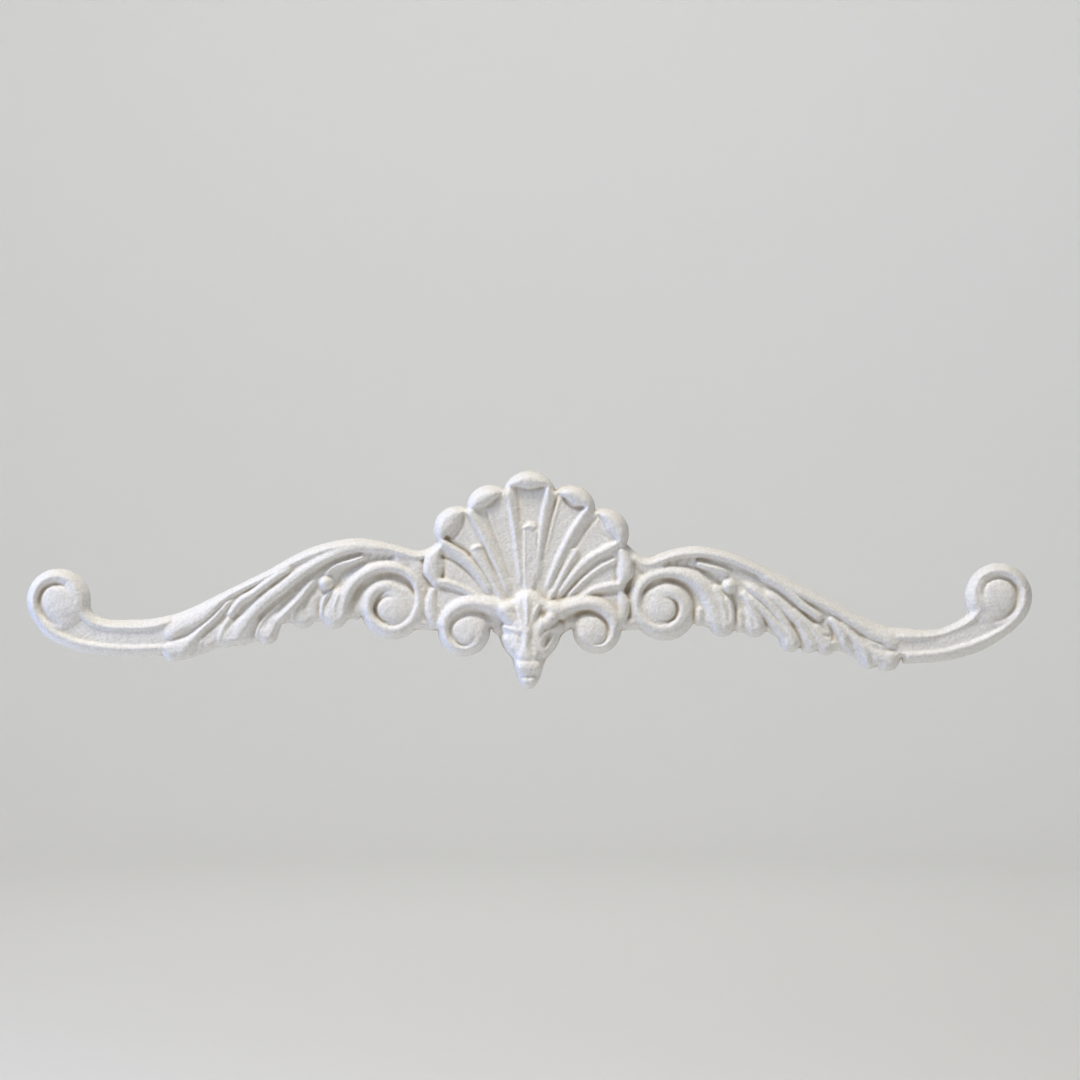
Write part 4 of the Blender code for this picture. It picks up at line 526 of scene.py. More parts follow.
# Lips: points, half-width along them, share of LIP.
LIPS = [
    ([(-9.5, 55.8), (-6, 57.2), (0, 57.4), (6, 57.2), (9.5, 55.6)], [1.6, 2.8, 3.9, 2.8, 1.6], 1.02),
    ([(-11.5, 53.8), (-15, 52), (-18.6, 50.2), (-25.3, 46.4)], [1.5, 2.9, 3.8, 1.5], 0.98),
    ([(-27, 45.9), (-31.3, 43), (-34, 40), (-36.4, 36.6), (-37.6, 33)], [1.5, 3.4, 4.4, 3.6, 1.8], 0.96),
    ([(11.5, 53.6), (15.5, 52.4), (19.5, 51), (24, 49), (27, 45.8)], [1.5, 2.6, 4.2, 3.2, 1.5], 0.98),
    ([(29, 44.7), (33.5, 42), (36, 38.8), (38, 35), (38.8, 31)], [1.5, 3.2, 4.4, 3.4, 1.8], 0.96),
    ([(-38.4, 28.2), (-40.2, 24.4), (-40.5, 19.6), (-39, 15.2)], [2, 3.5, 3.9, 2.2], 0.88),
    ([(-40.6, 11.4), (-41.2, 6.8), (-40.9, 1.6), (-39.4, -2.8)], [1.6, 2.8, 2.9, 1.7], 0.82),
    ([(38.4, 27.4), (39.8, 23.6), (39.7, 18.8), (38.2, 14.6)], [1.8, 3.2, 3.5, 2], 0.9),
    ([(38.2, 10.4), (39.1, 6.6), (38.9, 2), (37.8, -1.4)], [1.6, 2.7, 2.7, 1.7], 0.82),
]
# Ribs: points from the edge to the hinge, width to the left and to the right, share of RIB.
RIBS = [
    ([(-25.6, 44.4), (-21.8, 38), (-18.3, 31.5), (-15.4, 25), (-12.8, 19.4), (-10.4, 13), (-8.6, 8.4)],
     4.2, 1.4, [1.04, 0.99, 0.96, 0.92]),
    ([(-9.8, 52.8), (-7.8, 45), (-6.6, 37), (-5.5, 29), (-4.5, 21), (-3.8, 13)], 3.2, 1.3,
     [1.04, 0.98, 0.95, 0.92]),
    ([(8.2, 54.8), (6.9, 49), (5.7, 43), (4.7, 36), (3.9, 29), (3.1, 22), (2.5, 14)], 3.6, 1.5,
     [1.04, 0.98, 0.95, 0.92]),
    ([(24.8, 46.6), (21.3, 41.5), (17.7, 36), (14.5, 30), (11.7, 24), (9, 17.5), (6.7, 11)], 3.2, 1.9,
     [1.04, 1, 0.97, 0.92]),
    ([(35.8, 30.4), (30.6, 27.6), (25.6, 24.8), (21.4, 21.2), (17.6, 16.8), (14, 12), (11.4, 8.4)],
     1.9, 2.6, [1.02, 1, 0.97, 0.92]),
    ([(35.5, 24), (31, 21.8), (26.4, 18.8), (22, 15.1), (18.2, 11.3), (15.4, 8.6)], 1.7, 1.6,
     [0.95, 0.94, 0.93, 0.9]),
    ([(37.4, 14), (33, 13.2), (28, 12), (23.6, 10), (19.5, 7.8)], 1.7, 2.3, [1, 0.98, 0.94, 0.9]),
    ([(-35.8, 32), (-31, 29), (-27.4, 26.2), (-24, 22.8), (-20.6, 18.6), (-17.6, 13.8), (-15.4, 9.8)],
     1.5, 4.2, [1.03, 1, 0.97, 0.93]),
    ([(-37, 15), (-33, 14.2), (-29, 12.8), (-24.6, 10.6), (-20, 8.4)], 2.2, 1.6, [1, 0.98, 0.94, 0.9]),
    ([(12.8, 51.6), (10.8, 44), (9, 37), (7.3, 30), (6.1, 24.4)], 2, 1.4, [0.88, 0.86, 0.84]),
    ([(-16.6, 43), (-14.5, 36.6), (-11.8, 29.4), (-9.2, 22.4), (-7.2, 15)], 2, 1.4, [0.86, 0.86, 0.84]),
]
# Valleys beside the ribs, and the dark inner edges of the lips: points, half-width, depth.
SHELL_VALLEYS = [
    ([(-18, 44.4), (-16.2, 39), (-13.3, 31.8), (-10.6, 24.6), (-8.4, 17)], 1, [0.7, 0.6, 0.5]),
    ([(-5.6, 54.6), (-4.4, 47), (-3.7, 40.6)], 1.1, [0.9, 0.7, 0.5]),
    ([(11.9, 51.2), (10, 44.6), (8.2, 37.6), (6.6, 30.6), (5.4, 24)], 1.1, [1.2, 0.8, 0.6]),
    ([(28.6, 42.4), (24, 37.6), (19.6, 31), (15.6, 24.6), (12, 17.8), (9.6, 12)], 1.4, [1, 0.9, 0.7]),
    ([(34.6, 25.6), (29.4, 23.6), (24.8, 20), (20.6, 16), (16.8, 11.8), (14.2, 9)], 1.1, [1.1, 0.9, 0.7]),
    ([(-36.6, 25.6), (-32, 23.8), (-27.6, 20.8), (-23.8, 17.2), (-20.4, 12.8), (-18, 9.6)], 1.2,
     [1.2, 1, 0.6]),
    ([(-36, 34), (-32.6, 31.6), (-29.4, 29.6), (-26.4, 27.8), (-24.8, 26)], 1.1, [1.4, 1.2, 0.9]),
    ([(-36.4, 12.4), (-30, 10.6), (-25.4, 8.6)], 1.3, [0.8, 0.7, 0.4]),
    ([(36.6, 10.4), (30, 9.6), (24, 8)], 1.3, [0.8, 0.6, 0.4]),
    ([(-6.4, 56.4), (-4, 54.4), (0, 53.4), (4, 53.8), (6.6, 56.2)], 1, [1, 0.7, 0.7, 1]),
    ([(-23.4, 48.8), (-20, 46.6), (-16.6, 46.8), (-13, 50.4)], 1.1, [1.2, 0.8, 0.8, 1.2]),
    ([(-36.4, 34.2), (-32, 33.4), (-29, 36.6), (-27.6, 40.4), (-28, 44)], 1.1, [1.2, 0.9, 0.8, 1.4]),
    ([(13.6, 51.6), (15.6, 47.8), (19, 45.8), (23.4, 45.8)], 1, [1, 0.8, 0.8, 0.6]),
    ([(29.4, 43), (29.6, 38), (31, 34.8), (34.8, 31.4)], 0.9, [0.8, 0.6, 0.6]),
    ([(-36.4, 26.6), (-35.4, 22), (-36, 17)], 1.1, [0.8, 0.9, 1.6]),
    ([(36.2, 25), (35.6, 19.4), (36.4, 14.6)], 1, [0.4, 0.6, 0.8]),
    ([(-38.6, 11), (-38.8, 5), (-37.4, 1)], 1.2, [0.8, 0.8, 0.6]),
    ([(-43.8, 28), (-44, 20), (-44.2, 13)], 1.3, [0.3, 0.4, 0.4]),
    ([(42.6, 20), (41.6, 14), (40.4, 11)], 1.5, [0.4, 1.2, 2.2]),
    ([(41.8, 6), (41.6, 1), (39.4, -1.6)], 1.2, [0.5, 0.9, 1.2]),
]
# Darts between the flutes: points, half-width, share of RIB. Each has two edges and a cap.
DARTS = [
    ([(0.2, 37.2), (0.2, 30), (0.1, 20), (0, 9)], [3, 2.6, 2.2, 1.6], 0.92),
    ([(-22, 28.2), (-18.6, 21.8), (-15.8, 16.4), (-11.6, 8)], [2.6, 1.9, 1.5, 1.2], 0.95),
    ([(18.4, 27.2), (15.4, 21.8), (12.6, 16.4), (8.4, 8.4)], [2.3, 1.9, 1.5, 1.2], 0.95),
]
DART_EDGES = [
    ([(-1.9, 36.5), (-1.9, 25), (-1.5, 10)], 1.1, [0.97, 0.98, 0.94]),
    ([(2.6, 36), (2.2, 25), (1.5, 11)], 1.1, [0.95, 0.95, 0.92]),
    ([(-2.2, 37.6), (0, 38.3), (2.4, 37.6)], 1.1, [1, 1.04, 1]),
    ([(-23.6, 28.6), (-22, 29.6), (-19.8, 29.4)], 1.1, [1, 1.04, 0.99]),
    ([(-23.4, 26.6), (-20, 21.6), (-17, 17), (-13.2, 9.4)], 1, [0.97, 0.96, 0.93]),
    ([(17.2, 27.8), (18.8, 28.2), (20, 27)], 1, [0.98, 1, 0.96]),
]

# Ridges that join the wings to the shell.
roll([(-54, 25), (-48.6, 23.2), (-46, 17), (-45.2, 8), (-45, -2)], [2.4, 3.2, 2.4, 1.8, 1.6],
     0.82 * LEAF, 0.85, 1.2)
roll([(54, 21.8), (48.6, 21.6), (45.6, 25.4)], [2.4, 3, 2.4], 0.86 * LEAF, 0.85, 1.2)
plate(curve(SHELL_GROUND + SHELL_GROUND[:1], 120), FLOOR)
for scallop in SCALLOPS:
    disc(*scallop, FLOOR)
for *sides, shares in RIBS:
    fold(*sides, RIB * np.array(shares), 0.5)
for points, width, share in DARTS:
    roll(points, width, RIB * share, 0.8, 0.4, 3)
for points, width, shares in DART_EDGES:
    fold(points, width, width, RIB * np.array(shares), 0.4)
for valley in SHELL_VALLEYS:
    groove(*valley)
for points, width, share in LIPS:
    roll(points, width, share * LIP * np.array([0.92, 0.98, 1, 0.98, 0.92]), 0.55, 1.4, 2.8)
print("shell laid, highest", height.max().round(2))

# %% [markdown]
# The horns leave the head at the brow, sweep out along the foot of the shell and curl down and in.
# They get thinner as they go, and end on a low dome.

# %% Horns
LEFT_HORN = dict(
    centre=(-27.3, -5.2), radius=10.95,
    crest=[(-9, 3.6), (-14, 4.6), (-20, 5.8), (-26, 5.9), (-31, 3.8), (-34.6, 0.2), (-35.6, -4.8),
           (-34.2, -9.4), (-30.4, -12.4), (-25.6, -13), (-21.8, -11.2), (-19.8, -8)],
    valley=[(-14.6, -2), (-18, 1), (-23.6, 2.3), (-28.6, 1), (-32, -2), (-32.8, -5.8), (-31.2, -9),
            (-28.2, -10.9), (-24.8, -10.4), (-22.6, -8.2)],
    eye=(-24.3, -6), eye_radius=7.2,
)
RIGHT_HORN = dict(
    centre=(28.2, -4.8), radius=10.25,
    crest=[(9, 3), (14, 3.8), (20, 5.6), (26, 6), (31, 4), (34.4, 0.2), (35.4, -4.8), (34.2, -9),
           (30.8, -11.6), (26.6, -12.2), (23, -10.6), (21, -7.6)],
    valley=[(13.6, -2.8), (16.6, 0.4), (21.5, 2.3), (26.5, 1.8), (30.2, -0.2), (32.4, -3.6),
            (32.3, -7.4), (30.4, -10.2), (27, -10.8)],
    eye=(25, -6), eye_radius=6.9,
)


def horn(curl):
    """A nearly flat coil, the band that runs out to it from the brow, the dome in its middle and
    the valley that winds between them."""
    disc(curl["centre"], curl["radius"], 0.9 * HORN, (4, 0.5))
    roll(curl["crest"], [4.8, 4.7, 4.4, 4, 3.7, 3.4, 3.1, 2.6],
         HORN * np.array([1.02, 1.04, 1.02, 0.99, 0.95, 0.93, 0.92, 0.9]), 0.45, 1.4, 2, edge=0.9)
    disc(curl["eye"], curl["eye_radius"], 0.97 * HORN, (2.2, 0.75, 0.7), 1.2, False)
    groove(curl["valley"], [2.8, 2.8, 2.6, 2.2, 1.7, 1.4, 1.2, 1],
           [0.6, 0.9, 1.3, 1.7, 2, 2, 1.4, 0.3])


for curl in (LEFT_HORN, RIGHT_HORN):
    horn(curl)
for side in (-1, 1):        # low bridges from the horns to the large scrolls
    roll([(48 * side, -2.2), (37 * side, -2.6)], [2.8], 1.2 * GROUND, to_outline=True)
print("horns laid, highest", height.max().round(2))

# %% [markdown]
# The ram's head is a long domed form from the forehead to the muzzle, with a crown disc behind the
# brow. The brows and cheeks are pads on it, and the tuft, lids, nose and mouth are fine ridges and
# cuts.

# %% Head
HEAD_OUTLINE = [
    (-17, -3), (-15, -6), (-12.8, -8), (-11.6, -11.3), (-9.5, -14.5), (-7.4, -17), (-6.4, -20.5),
    (-5, -25), (-3.4, -28), (0, -29.8), (2.8, -28), (4.6, -24.5), (6, -20), (7.2, -17), (10, -14),
    (12, -10.8), (13.6, -7.2), (16, -5.4), (19, -2.8), (10, 6), (4, 10.6), (-4, 10.6), (-10, 6),
]
HEAD_LINE = [(-0.6, 5.6), (-0.8, 1), (-0.8, -5), (-0.7, -12), (-0.6, -18), (-0.4, -23.5), (-0.2, -25.4)]
# Pads: points, half-width, share of HEAD.
PADS = [
    ([(-11, 3.6), (-5, 5), (-0.6, 5.4), (4.6, 5), (11, 3.2)], [3.6, 3.9, 4.2, 3.9, 3.6], 0.72),
    ([(-9.8, 3.2), (-7.8, 0.2)], [4.2, 4], 0.81),
    ([(9.6, 3.6), (12.6, 2.8)], [4.2, 4], 0.76),
    ([(9, 0.2), (6.8, -2.6)], [3.7, 3.4], 0.88),
    ([(11, -4.4), (9.4, -8.6), (6.8, -13)], [3.6, 3.6, 3.2], 0.72),
    ([(5.2, -1.6), (4.2, -6.4), (4.3, -10.4), (5.4, -14)], [2.4, 2.9, 3, 2.8], 0.88),
    ([(-9.4, -8.8), (-8, -10.6), (-6.2, -13.4)], [2.6, 3.5, 3.2], 0.76),
    ([(-3, -20.2), (2.2, -20.2)], [4], 0.985),
    ([(-1.6, -25.8), (1.2, -25.8)], [3], 0.94),
]
# Raised lines of the face: points, half-width, share of HEAD.
FACE_RIDGES = [
    ([(-1, 9), (-1, 2), (-1, -4)], 0.8, [0.84, 0.91, 0.94]),
    ([(-1, -4.5), (-1.4, -10), (-2.2, -13.4), (-3.8, -17)], 1.4, [0.95, 0.97, 0.97, 0.95]),
    ([(-5.2, 4), (-4, 1), (-2.3, -1.8)], 0.8, [0.84, 0.88, 0.9]),
    ([(3.8, 5.2), (2.6, 3.2), (1.6, 0.8)], 0.8, [0.84, 0.9, 0.9]),
    ([(-10.2, -3.6), (-7.8, -4.6), (-5.4, -5.2)], 0.6, [0.78, 0.84, 0.87]),
    ([(11, -4), (8.4, -4.8), (5.8, -6.8)], 0.7, [0.75, 0.84, 0.88]),
    ([(10.2, -8), (8.4, -10.8), (6.8, -13.2)], 0.8, [0.68, 0.74, 0.8]),
    ([(-7.2, -12.6), (-6, -10.8)], 1.2, [0.8, 0.84]),
    ([(-4.6, -25), (-3.4, -27.4)], 0.8, [0.8, 0.76]),
]
# Cut lines of the face: points, half-width, depth.
FACE_GROOVES = [
    ([(-2.8, 6.6), (-2.8, 3), (-1.9, -1)], 1.1, [1.2, 1, 0.4]),
    ([(1.2, 7), (0.8, 3), (0.2, -1.6)], 0.9, [1.2, 0.8, 0.4]),
    ([(4.8, 4.4), (3.4, 0.6), (1.6, -3), (1, -8)], 1.1, [1.2, 1.2, 1, 1]),
    ([(-6, 5), (-5.4, 1), (-3.8, -3)], 1.1, [0.6, 1, 0.8]),
    ([(-9.4, -2.2), (-7, -3.2), (-4.4, -3.9)], 0.8, [0.6, 0.9, 0.6]),
    ([(-8.4, -5.9), (-5.8, -6.5), (-3.6, -7.2)], 0.9, [0.4, 0.8, 0.9]),
    ([(-3.8, -7), (-3.6, -10), (-3.8, -12.6)], 1.3, [1, 1.3, 0.8]),
    ([(11.2, -2.2), (10.2, -2.6), (8.4, -3.6), (5.6, -5.8), (4.6, -8)], 0.9, [0.9, 1.3, 1.5, 1.2, 0.6]),
    ([(9.8, -6.3), (8.1, -8.5), (6.6, -11.6)], 1, [1.4, 2.6, 2]),
    ([(0.5, -7), (0.9, -11), (1.2, -16)], 1.2, [0.8, 1.5, 1.3]),
    ([(-6, -14), (-5.2, -16.4)], 1.2, [0.8, 1.2]),
    ([(3.2, -16.6), (5.2, -17.2)], 0.9, [1, 1.2]),
    ([(-6.4, -17.2), (0, -17.5), (6.4, -17.2)], 0.9, [0.8, 0.9, 0.8]),
    ([(-4.6, -23.6), (-1, -24), (3.4, -23.7)], 0.8, [1.3, 1.8, 1.3]),
    ([(-0.3, -24.4), (-0.3, -26.6)], 0.7, [0.9, 0.3]),
    ([(-1, -3.8), (-1, -4.3)], 0.8, [1]),
]

plate(curve(HEAD_OUTLINE + HEAD_OUTLINE[:1], 140), 0.4 * HEAD)
roll(HEAD_LINE, [6.6, 9.4, 10.6, 9.5, 6.9, 6, 4.9],
     HEAD * np.array([0.78, 0.84, 0.9, 0.92, 0.97, 0.96, 0.9]), 0.42, 1.6, 2.2)
disc((-0.3, 4.4), 6.5, 0.83 * HEAD, (2.2, 0.6, 0.8), 1.6, False)
for points, width, share in PADS:
    roll(points, width, HEAD * share, 0.5, 1.8, 2.2, edge=0.7)
for points, width, shares in FACE_RIDGES:
    fold(points, 1.5 * width, 1.5 * width, HEAD * (np.array(shares) - 0.02), 1.1)
for points, width, depth in FACE_GROOVES:
    groove(points, [1.3 * width], 0.55 * np.array(depth))
# The muzzle is narrow, so the walls beside it are steeper.
MUZZLE_RUN, NEAR_MUZZLE = 2.4, [7, 14]
window, _, gap, _ = near(curve(HEAD_LINE[3:], 20), 16)
wall_run[window] = np.minimum(wall_run[window], np.interp(gap, NEAR_MUZZLE, [MUZZLE_RUN, WALL_RUN]))
print("head laid, highest", height.max().round(2))

# %% [markdown]
# Every tool rounds what it cuts, and the rubber mould and the thick resin round it once more. A short
# blur over the heights does this.

# %% Rounding


def blurred(values, reach):
    """Mean over a square window, twice, from running sums along rows and columns."""
    n = max(1, round(reach / CELL))
    for _ in range(2):
        for axis in (0, 1):
            a = np.moveaxis(values, axis, 0)
            padded = np.concatenate([np.repeat(a[:1], n + 1, 0), a, np.repeat(a[-1:], n, 0)])
            total = np.cumsum(padded, 0)
            values = np.moveaxis((total[2 * n + 1:] - total[:-2 * n - 1]) / (2 * n + 1), 0, axis)
    return values


height = np.maximum(height, 0)
SHARP, BLUNT = 0.3, 0.7
height = SHARP * height + BLUNT * blurred(height, CELL)
print("rounded, highest", height.max().round(2))

# %% [markdown]
# A casting has to leave its mould, so its sides slope. The height is scaled down to the thin upright
# edge over the last few millimetres before the outline, steeply at first and then rounding over.

# %% Sloped side walls


def crossings():
    """Points where the outline crosses the grid lines, by linear interpolation."""
    found = []
    for axis in (0, 1):
        f, x, z = (np.moveaxis(a, axis, 0) for a in (outside, X, Z))
        crossed = (f[:-1] < 0) != (f[1:] < 0)
        t = f[:-1][crossed] / (f[:-1][crossed] - f[1:][crossed])
        found.append(np.stack([a[:-1][crossed] + t * (a[1:] - a[:-1])[crossed] for a in (x, z)], axis=1))
    return np.vstack(found)


def depth_inside(reach):
    """Distance to the nearest of those points, up to reach, from a stamp moved over each of them."""
    points = crossings()
    depth = np.full(X.shape, reach)
    column = np.round((points[:, 0] - xs[0]) / CELL).astype(int)
    row = np.round((points[:, 1] - zs[0]) / CELL).astype(int)
    n = int(reach / CELL) + 1
    for i in range(-n, n + 1):
        for j in range(-n, n + 1):
            r, c = row + i, column + j
            gap = np.hypot(xs[0] + c * CELL - points[:, 0], zs[0] + r * CELL - points[:, 1])
            np.minimum.at(depth, (r, c), gap)
    return depth


inside_by = depth_inside(WALL_RUN + CELL)
WALL_POWER = 3.2
wall = 1 - (1 - np.clip(inside_by / wall_run, 0, 1)) ** WALL_POWER
height = np.where(outside < 0, EDGE + np.maximum(height - EDGE, 0) * wall, EDGE)
print("walls sloped,", int((outside < 0).sum()), "grid points inside the outline")

# %% [markdown]
# Plaster masters and resin casts aren't perfectly smooth. Low random swells, a few tenths of a
# millimetre at most, keep the light from sliding over the forms as if they were machined.

# %% Hand-worked unevenness


def swell(size, amount, seed):
    """Random heights on a coarse lattice, joined by a smooth cubic step between its points."""
    rng = np.random.default_rng(seed)
    u, v = (X - xs[0]) / size, (Z - zs[0]) / size
    i, j = v.astype(int), u.astype(int)
    lattice = rng.uniform(-1, 1, (i.max() + 2, j.max() + 2))
    fu, fv = u - j, v - i
    fu, fv = fu * fu * (3 - 2 * fu), fv * fv * (3 - 2 * fv)
    low = lattice[i, j] * (1 - fu) + lattice[i, j + 1] * fu
    high = lattice[i + 1, j] * (1 - fu) + lattice[i + 1, j + 1] * fu
    return amount * (low * (1 - fv) + high * fv)


uneven = swell(5, 0.10, 3) + swell(2.1, 0.06, 5) + swell(0.95, 0.035, 8)
height += np.where(outside < 0, uneven * np.clip(inside_by, 0, 1), 0)
height = np.clip(height, EDGE, HEAD)
print("unevenness up to", np.abs(uneven).max().round(2), "units")

# %% [markdown]
# Dust and handling settle in the hollows, and shade falls in them too. How hollow a place is shows in
# how far it lies below the mean of its surroundings, so a blurred copy of the heights, less the heights,
# is kept for the paint, which darkens the hollows partly as dust and partly as painted shade.

# %% Hollows
AROUND, DEEP = 1.6, 1.2        # reach of the mean, and the depth that counts as fully hollow

mean = blurred(np.where(outside < 0, height, 0), AROUND)
hollow = np.clip((mean - height) / DEEP, 0, 1)
print("deepest hollow", (mean - height)[outside < 0].max().round(2), "units below its surroundings")

# %% [markdown]
# The grid becomes a mesh by marching squares. Each square gives the part of it that lies inside the
# outline, so the edge follows the outline and not the grid. The same cut points, moved back to the
# board, give the upright edge, and the back is closed flat.

# %% The front sheet
SLIVER = 0.12


def cut(a, b):
    """Share of the way from a to b at which they pass zero, kept off both ends."""
    return np.clip(a / np.where(a == b, 1, a - b), SLIVER, 1 - SLIVER)


def sheet():
    """Vertices and triangles inside the outline, and the attribute on them. In each square the
    corners count 0 to 3 and the cuts on its sides 4 to 7, in the same turn."""
    f = outside
    rows, columns = f.shape
    corner = np.arange(f.size).reshape(f.shape)
    ahead, above = cut(f[:, :-1], f[:, 1:]), cut(f[:-1], f[1:])
    flat = np.stack([X, Z, height], axis=-1).reshape(-1, 3)
    along = np.stack([X[:, :-1] + ahead * CELL, Z[:, :-1], np.full(ahead.shape, EDGE)], axis=-1)
    up = np.stack([X[:-1], Z[:-1] + above * CELL, np.full(above.shape, EDGE)], axis=-1)
    side = f.size + np.arange(rows * (columns - 1)).reshape(rows, columns - 1)
    rise = f.size + side.size + np.arange((rows - 1) * columns).reshape(rows - 1, columns)
    ids = np.stack([corner[:-1, :-1], corner[:-1, 1:], corner[1:, 1:], corner[1:, :-1],
                    side[:-1], rise[:, 1:], side[1:], rise[:, :-1]], axis=-1).reshape(-1, 8)
    case = (f < 0).ravel()[ids[:, :4]] @ np.array([1, 2, 4, 8])
    faces, rims = [], []
    for pattern in range(1, 16):
        turn = []
        for k in range(4):
            if pattern >> k & 1:
                turn.append(k)
            if (pattern >> k & 1) != (pattern >> (k + 1) % 4 & 1):
                turn.append(4 + k)
        split = {5: [turn[-1:] + turn[:2], turn[2:5]], 10: [turn[:3], turn[3:]]}.get(pattern, [turn])
        square = ids[case == pattern]
        for polygon in split:
            for k in range(1, len(polygon) - 1):
                faces.append(square[:, [polygon[0], polygon[k], polygon[k + 1]]])
            for a, b in zip(polygon, polygon[1:] + polygon[:1]):
                if a > 3 and b > 3:
                    rims.append(square[:, [a, b]])
    faces, rims = np.vstack(faces), np.vstack(rims)
    used, packed = np.unique(faces, return_inverse=True)
    faces = packed.reshape(-1, 3)
    rims = np.searchsorted(used, rims)
    points = np.vstack([flat, along.reshape(-1, 3), up.reshape(-1, 3)])[used]
    marks = np.concatenate([hollow.ravel(), np.zeros(side.size + rise.size)])[used]
    return points, faces, rims, marks


points, faces, rims, marks = sheet()
print(len(points), "points and", len(faces), "triangles in front,", len(rims), "rim segments")

# %% [markdown]
# The side strip joins each rim segment to its copy on the board. The back is one flat face for each
# closed loop of the rim, and Blender splits it into triangles by itself.

# %% Edge, back and mesh object


def show(name, data):
    """Object made of a mesh, a lamp or a camera, put in the scene."""
    thing = bpy.data.objects.new(name, data)
    bpy.context.scene.collection.objects.link(thing)
    return thing


def loops(segments):
    """Closed loops from segments, following each one's end to the next one's start."""
    after = dict(segments.tolist())
    found = []
    while after:
        start, here = next(iter(after.items()))
        loop = [start]
        del after[start]
        while here != start:
            loop.append(here)
            here = after.pop(here)
        found.append(loop)
    return found


edge_ids = np.unique(rims)
twin = np.full(len(points), -1)
twin[edge_ids] = len(points) + np.arange(len(edge_ids))
foot = points[edge_ids] * [1, 1, 0]
walls = np.stack([rims[:, 1], rims[:, 0], twin[rims[:, 0]], twin[rims[:, 1]]], axis=1)
backs = [[int(twin[i]) for i in reversed(loop)] for loop in loops(rims)]
co = np.vstack([points, foot])
co = np.clip(np.stack([co[:, 0], -co[:, 2], co[:, 1]], axis=1) * UNIT, LOW, HIGH)
mesh = bpy.data.meshes.new("pediment_relief")
mesh.from_pydata(co, [], faces.tolist() + walls.tolist() + backs)
mesh.attributes.new("hollow", "FLOAT", "POINT").data.foreach_set(
    "value", np.concatenate([marks, np.zeros(len(foot))]).astype(np.float32))
smooth = np.ones(len(mesh.polygons), bool)
smooth[-len(backs):] = False        # the back stays flat, with a crisp edge round it
mesh.polygons.foreach_set("use_smooth", smooth)
mesh.validate()
relief = show("pediment_relief", mesh)
print(f"{relief.name}: {len(mesh.polygons)} faces, {len(backs)} closed loops at the back")

# %% [markdown]
# The casting is unpainted polyester resin filled with chalk, poured in a rubber mould. That gives an
# off-white, slightly warm and matt surface with a fine grain from the master, and brownish grey dust in
# the hollows. The darkening in the hollows is partly that dust and partly painted shade.

# %% Colours and nodes


def colour(code):
    """sRGB hex to linear red, green, blue and alpha."""
    c = np.array([int(code[i:i + 2], 16) / 255 for i in (1, 3, 5)])
    return (*np.where(c <= 0.04045, c / 12.92, ((c + 0.055) / 1.055) ** 2.4), 1)


def add(tree, kind, links=(), **settings):
    """Adds a node: settings are its properties, or "in_" and a socket's number for a value."""
    node = tree.nodes.new(kind)
    for name, value in settings.items():
        if name.startswith("in_"):
            node.inputs[int(name[3:])].default_value = value
        else:
            setattr(node, name, value)
    for source, socket in links:
        tree.links.new(source, node.inputs[socket])
    return node


def surface(name, roughness):
    """New material of one roughness, with its node tree and its shader."""
    material = bpy.data.materials.new(name)
    material.use_nodes = True
    shader = material.node_tree.nodes["Principled BSDF"]
    shader.inputs["Roughness"].default_value = roughness
    return material, material.node_tree, shader


def chalk_resin():
    """Cast chalk-filled resin: off-white, matt, brushed and grainy, with dust and painted shade where it
    is hollow.
    """
    material, tree, shader = surface("cast_chalk_resin", 0.6)
    place = add(tree, "ShaderNodeTexCoord").outputs["Object"]
    # Patches of tone, brush marks and grain: width of a patch in millimetres, octaves of detail.
    cloud, brush, grain = (
        add(tree, "ShaderNodeTexNoise", [(place, 0)], in_2=1000 / size, in_3=detail)
        for size, detail in ((20, 3), (4, 3), (1.1, 2)))
    speckled = add(tree, "ShaderNodeMapRange", [(grain.outputs[0], 0)], in_1=0.35, in_2=0.65)
    body = add(tree, "ShaderNodeMix", [(speckled.outputs[0], 0)], data_type="RGBA",
               in_6=colour("#E4E2DD"), in_7=colour("#F2F1EE"))
    # Dust and painted shade darken the hollows, more in some patches than in others, browner where
    # deepest.
    hollow = add(tree, "ShaderNodeAttribute", attribute_name="hollow").outputs["Fac"]
    patch = add(tree, "ShaderNodeMapRange", [(cloud.outputs[0], 0)], in_1=0.38, in_2=0.62, in_3=0.35)
    dust_and_shade = add(tree, "ShaderNodeMath", [(hollow, 0), (patch.outputs[0], 1)], operation="MULTIPLY")
    some = add(tree, "ShaderNodeMapRange", [(dust_and_shade.outputs[0], 0)], in_1=0.08, in_2=0.65, in_4=0.75)
    much = add(tree, "ShaderNodeMapRange", [(dust_and_shade.outputs[0], 0)], in_1=0.45, in_2=1.1, in_4=0.7)
    dusted_and_shaded = add(tree, "ShaderNodeMix", [(some.outputs[0], 0), (body.outputs[2], 6)],
                data_type="RGBA", in_7=colour("#C3B8A4"))
    stained_and_shaded = add(tree, "ShaderNodeMix", [(much.outputs[0], 0), (dusted_and_shaded.outputs[2], 6)],
                  data_type="RGBA", in_7=colour("#8C6F4B"))
    tree.links.new(stained_and_shaded.outputs[2], shader.inputs["Base Color"])
    shader.inputs["IOR"].default_value = 1.5
    shader.inputs["Specular IOR Level"].default_value = 0.35
    marks = add(tree, "ShaderNodeBump", [(brush.outputs[0], "Height")], in_0=0.5, in_1=0.0006)
    pits = add(tree, "ShaderNodeBump", [(grain.outputs[0], "Height"), (marks.outputs[0], "Normal")],
               in_0=0.6, in_1=0.0005)
    tree.links.new(pits.outputs[0], shader.inputs["Normal"])
    return material


mesh.materials.append(chalk_resin())
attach(relief, "root")
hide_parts("pediment")
print("material", mesh.materials[0].name)

# %% [markdown]
# The camera looks straight at the board from a distance, through a long lens, as the photograph
# does. The picture is 1080 pixels wide, and on it the moulding covers 1009.

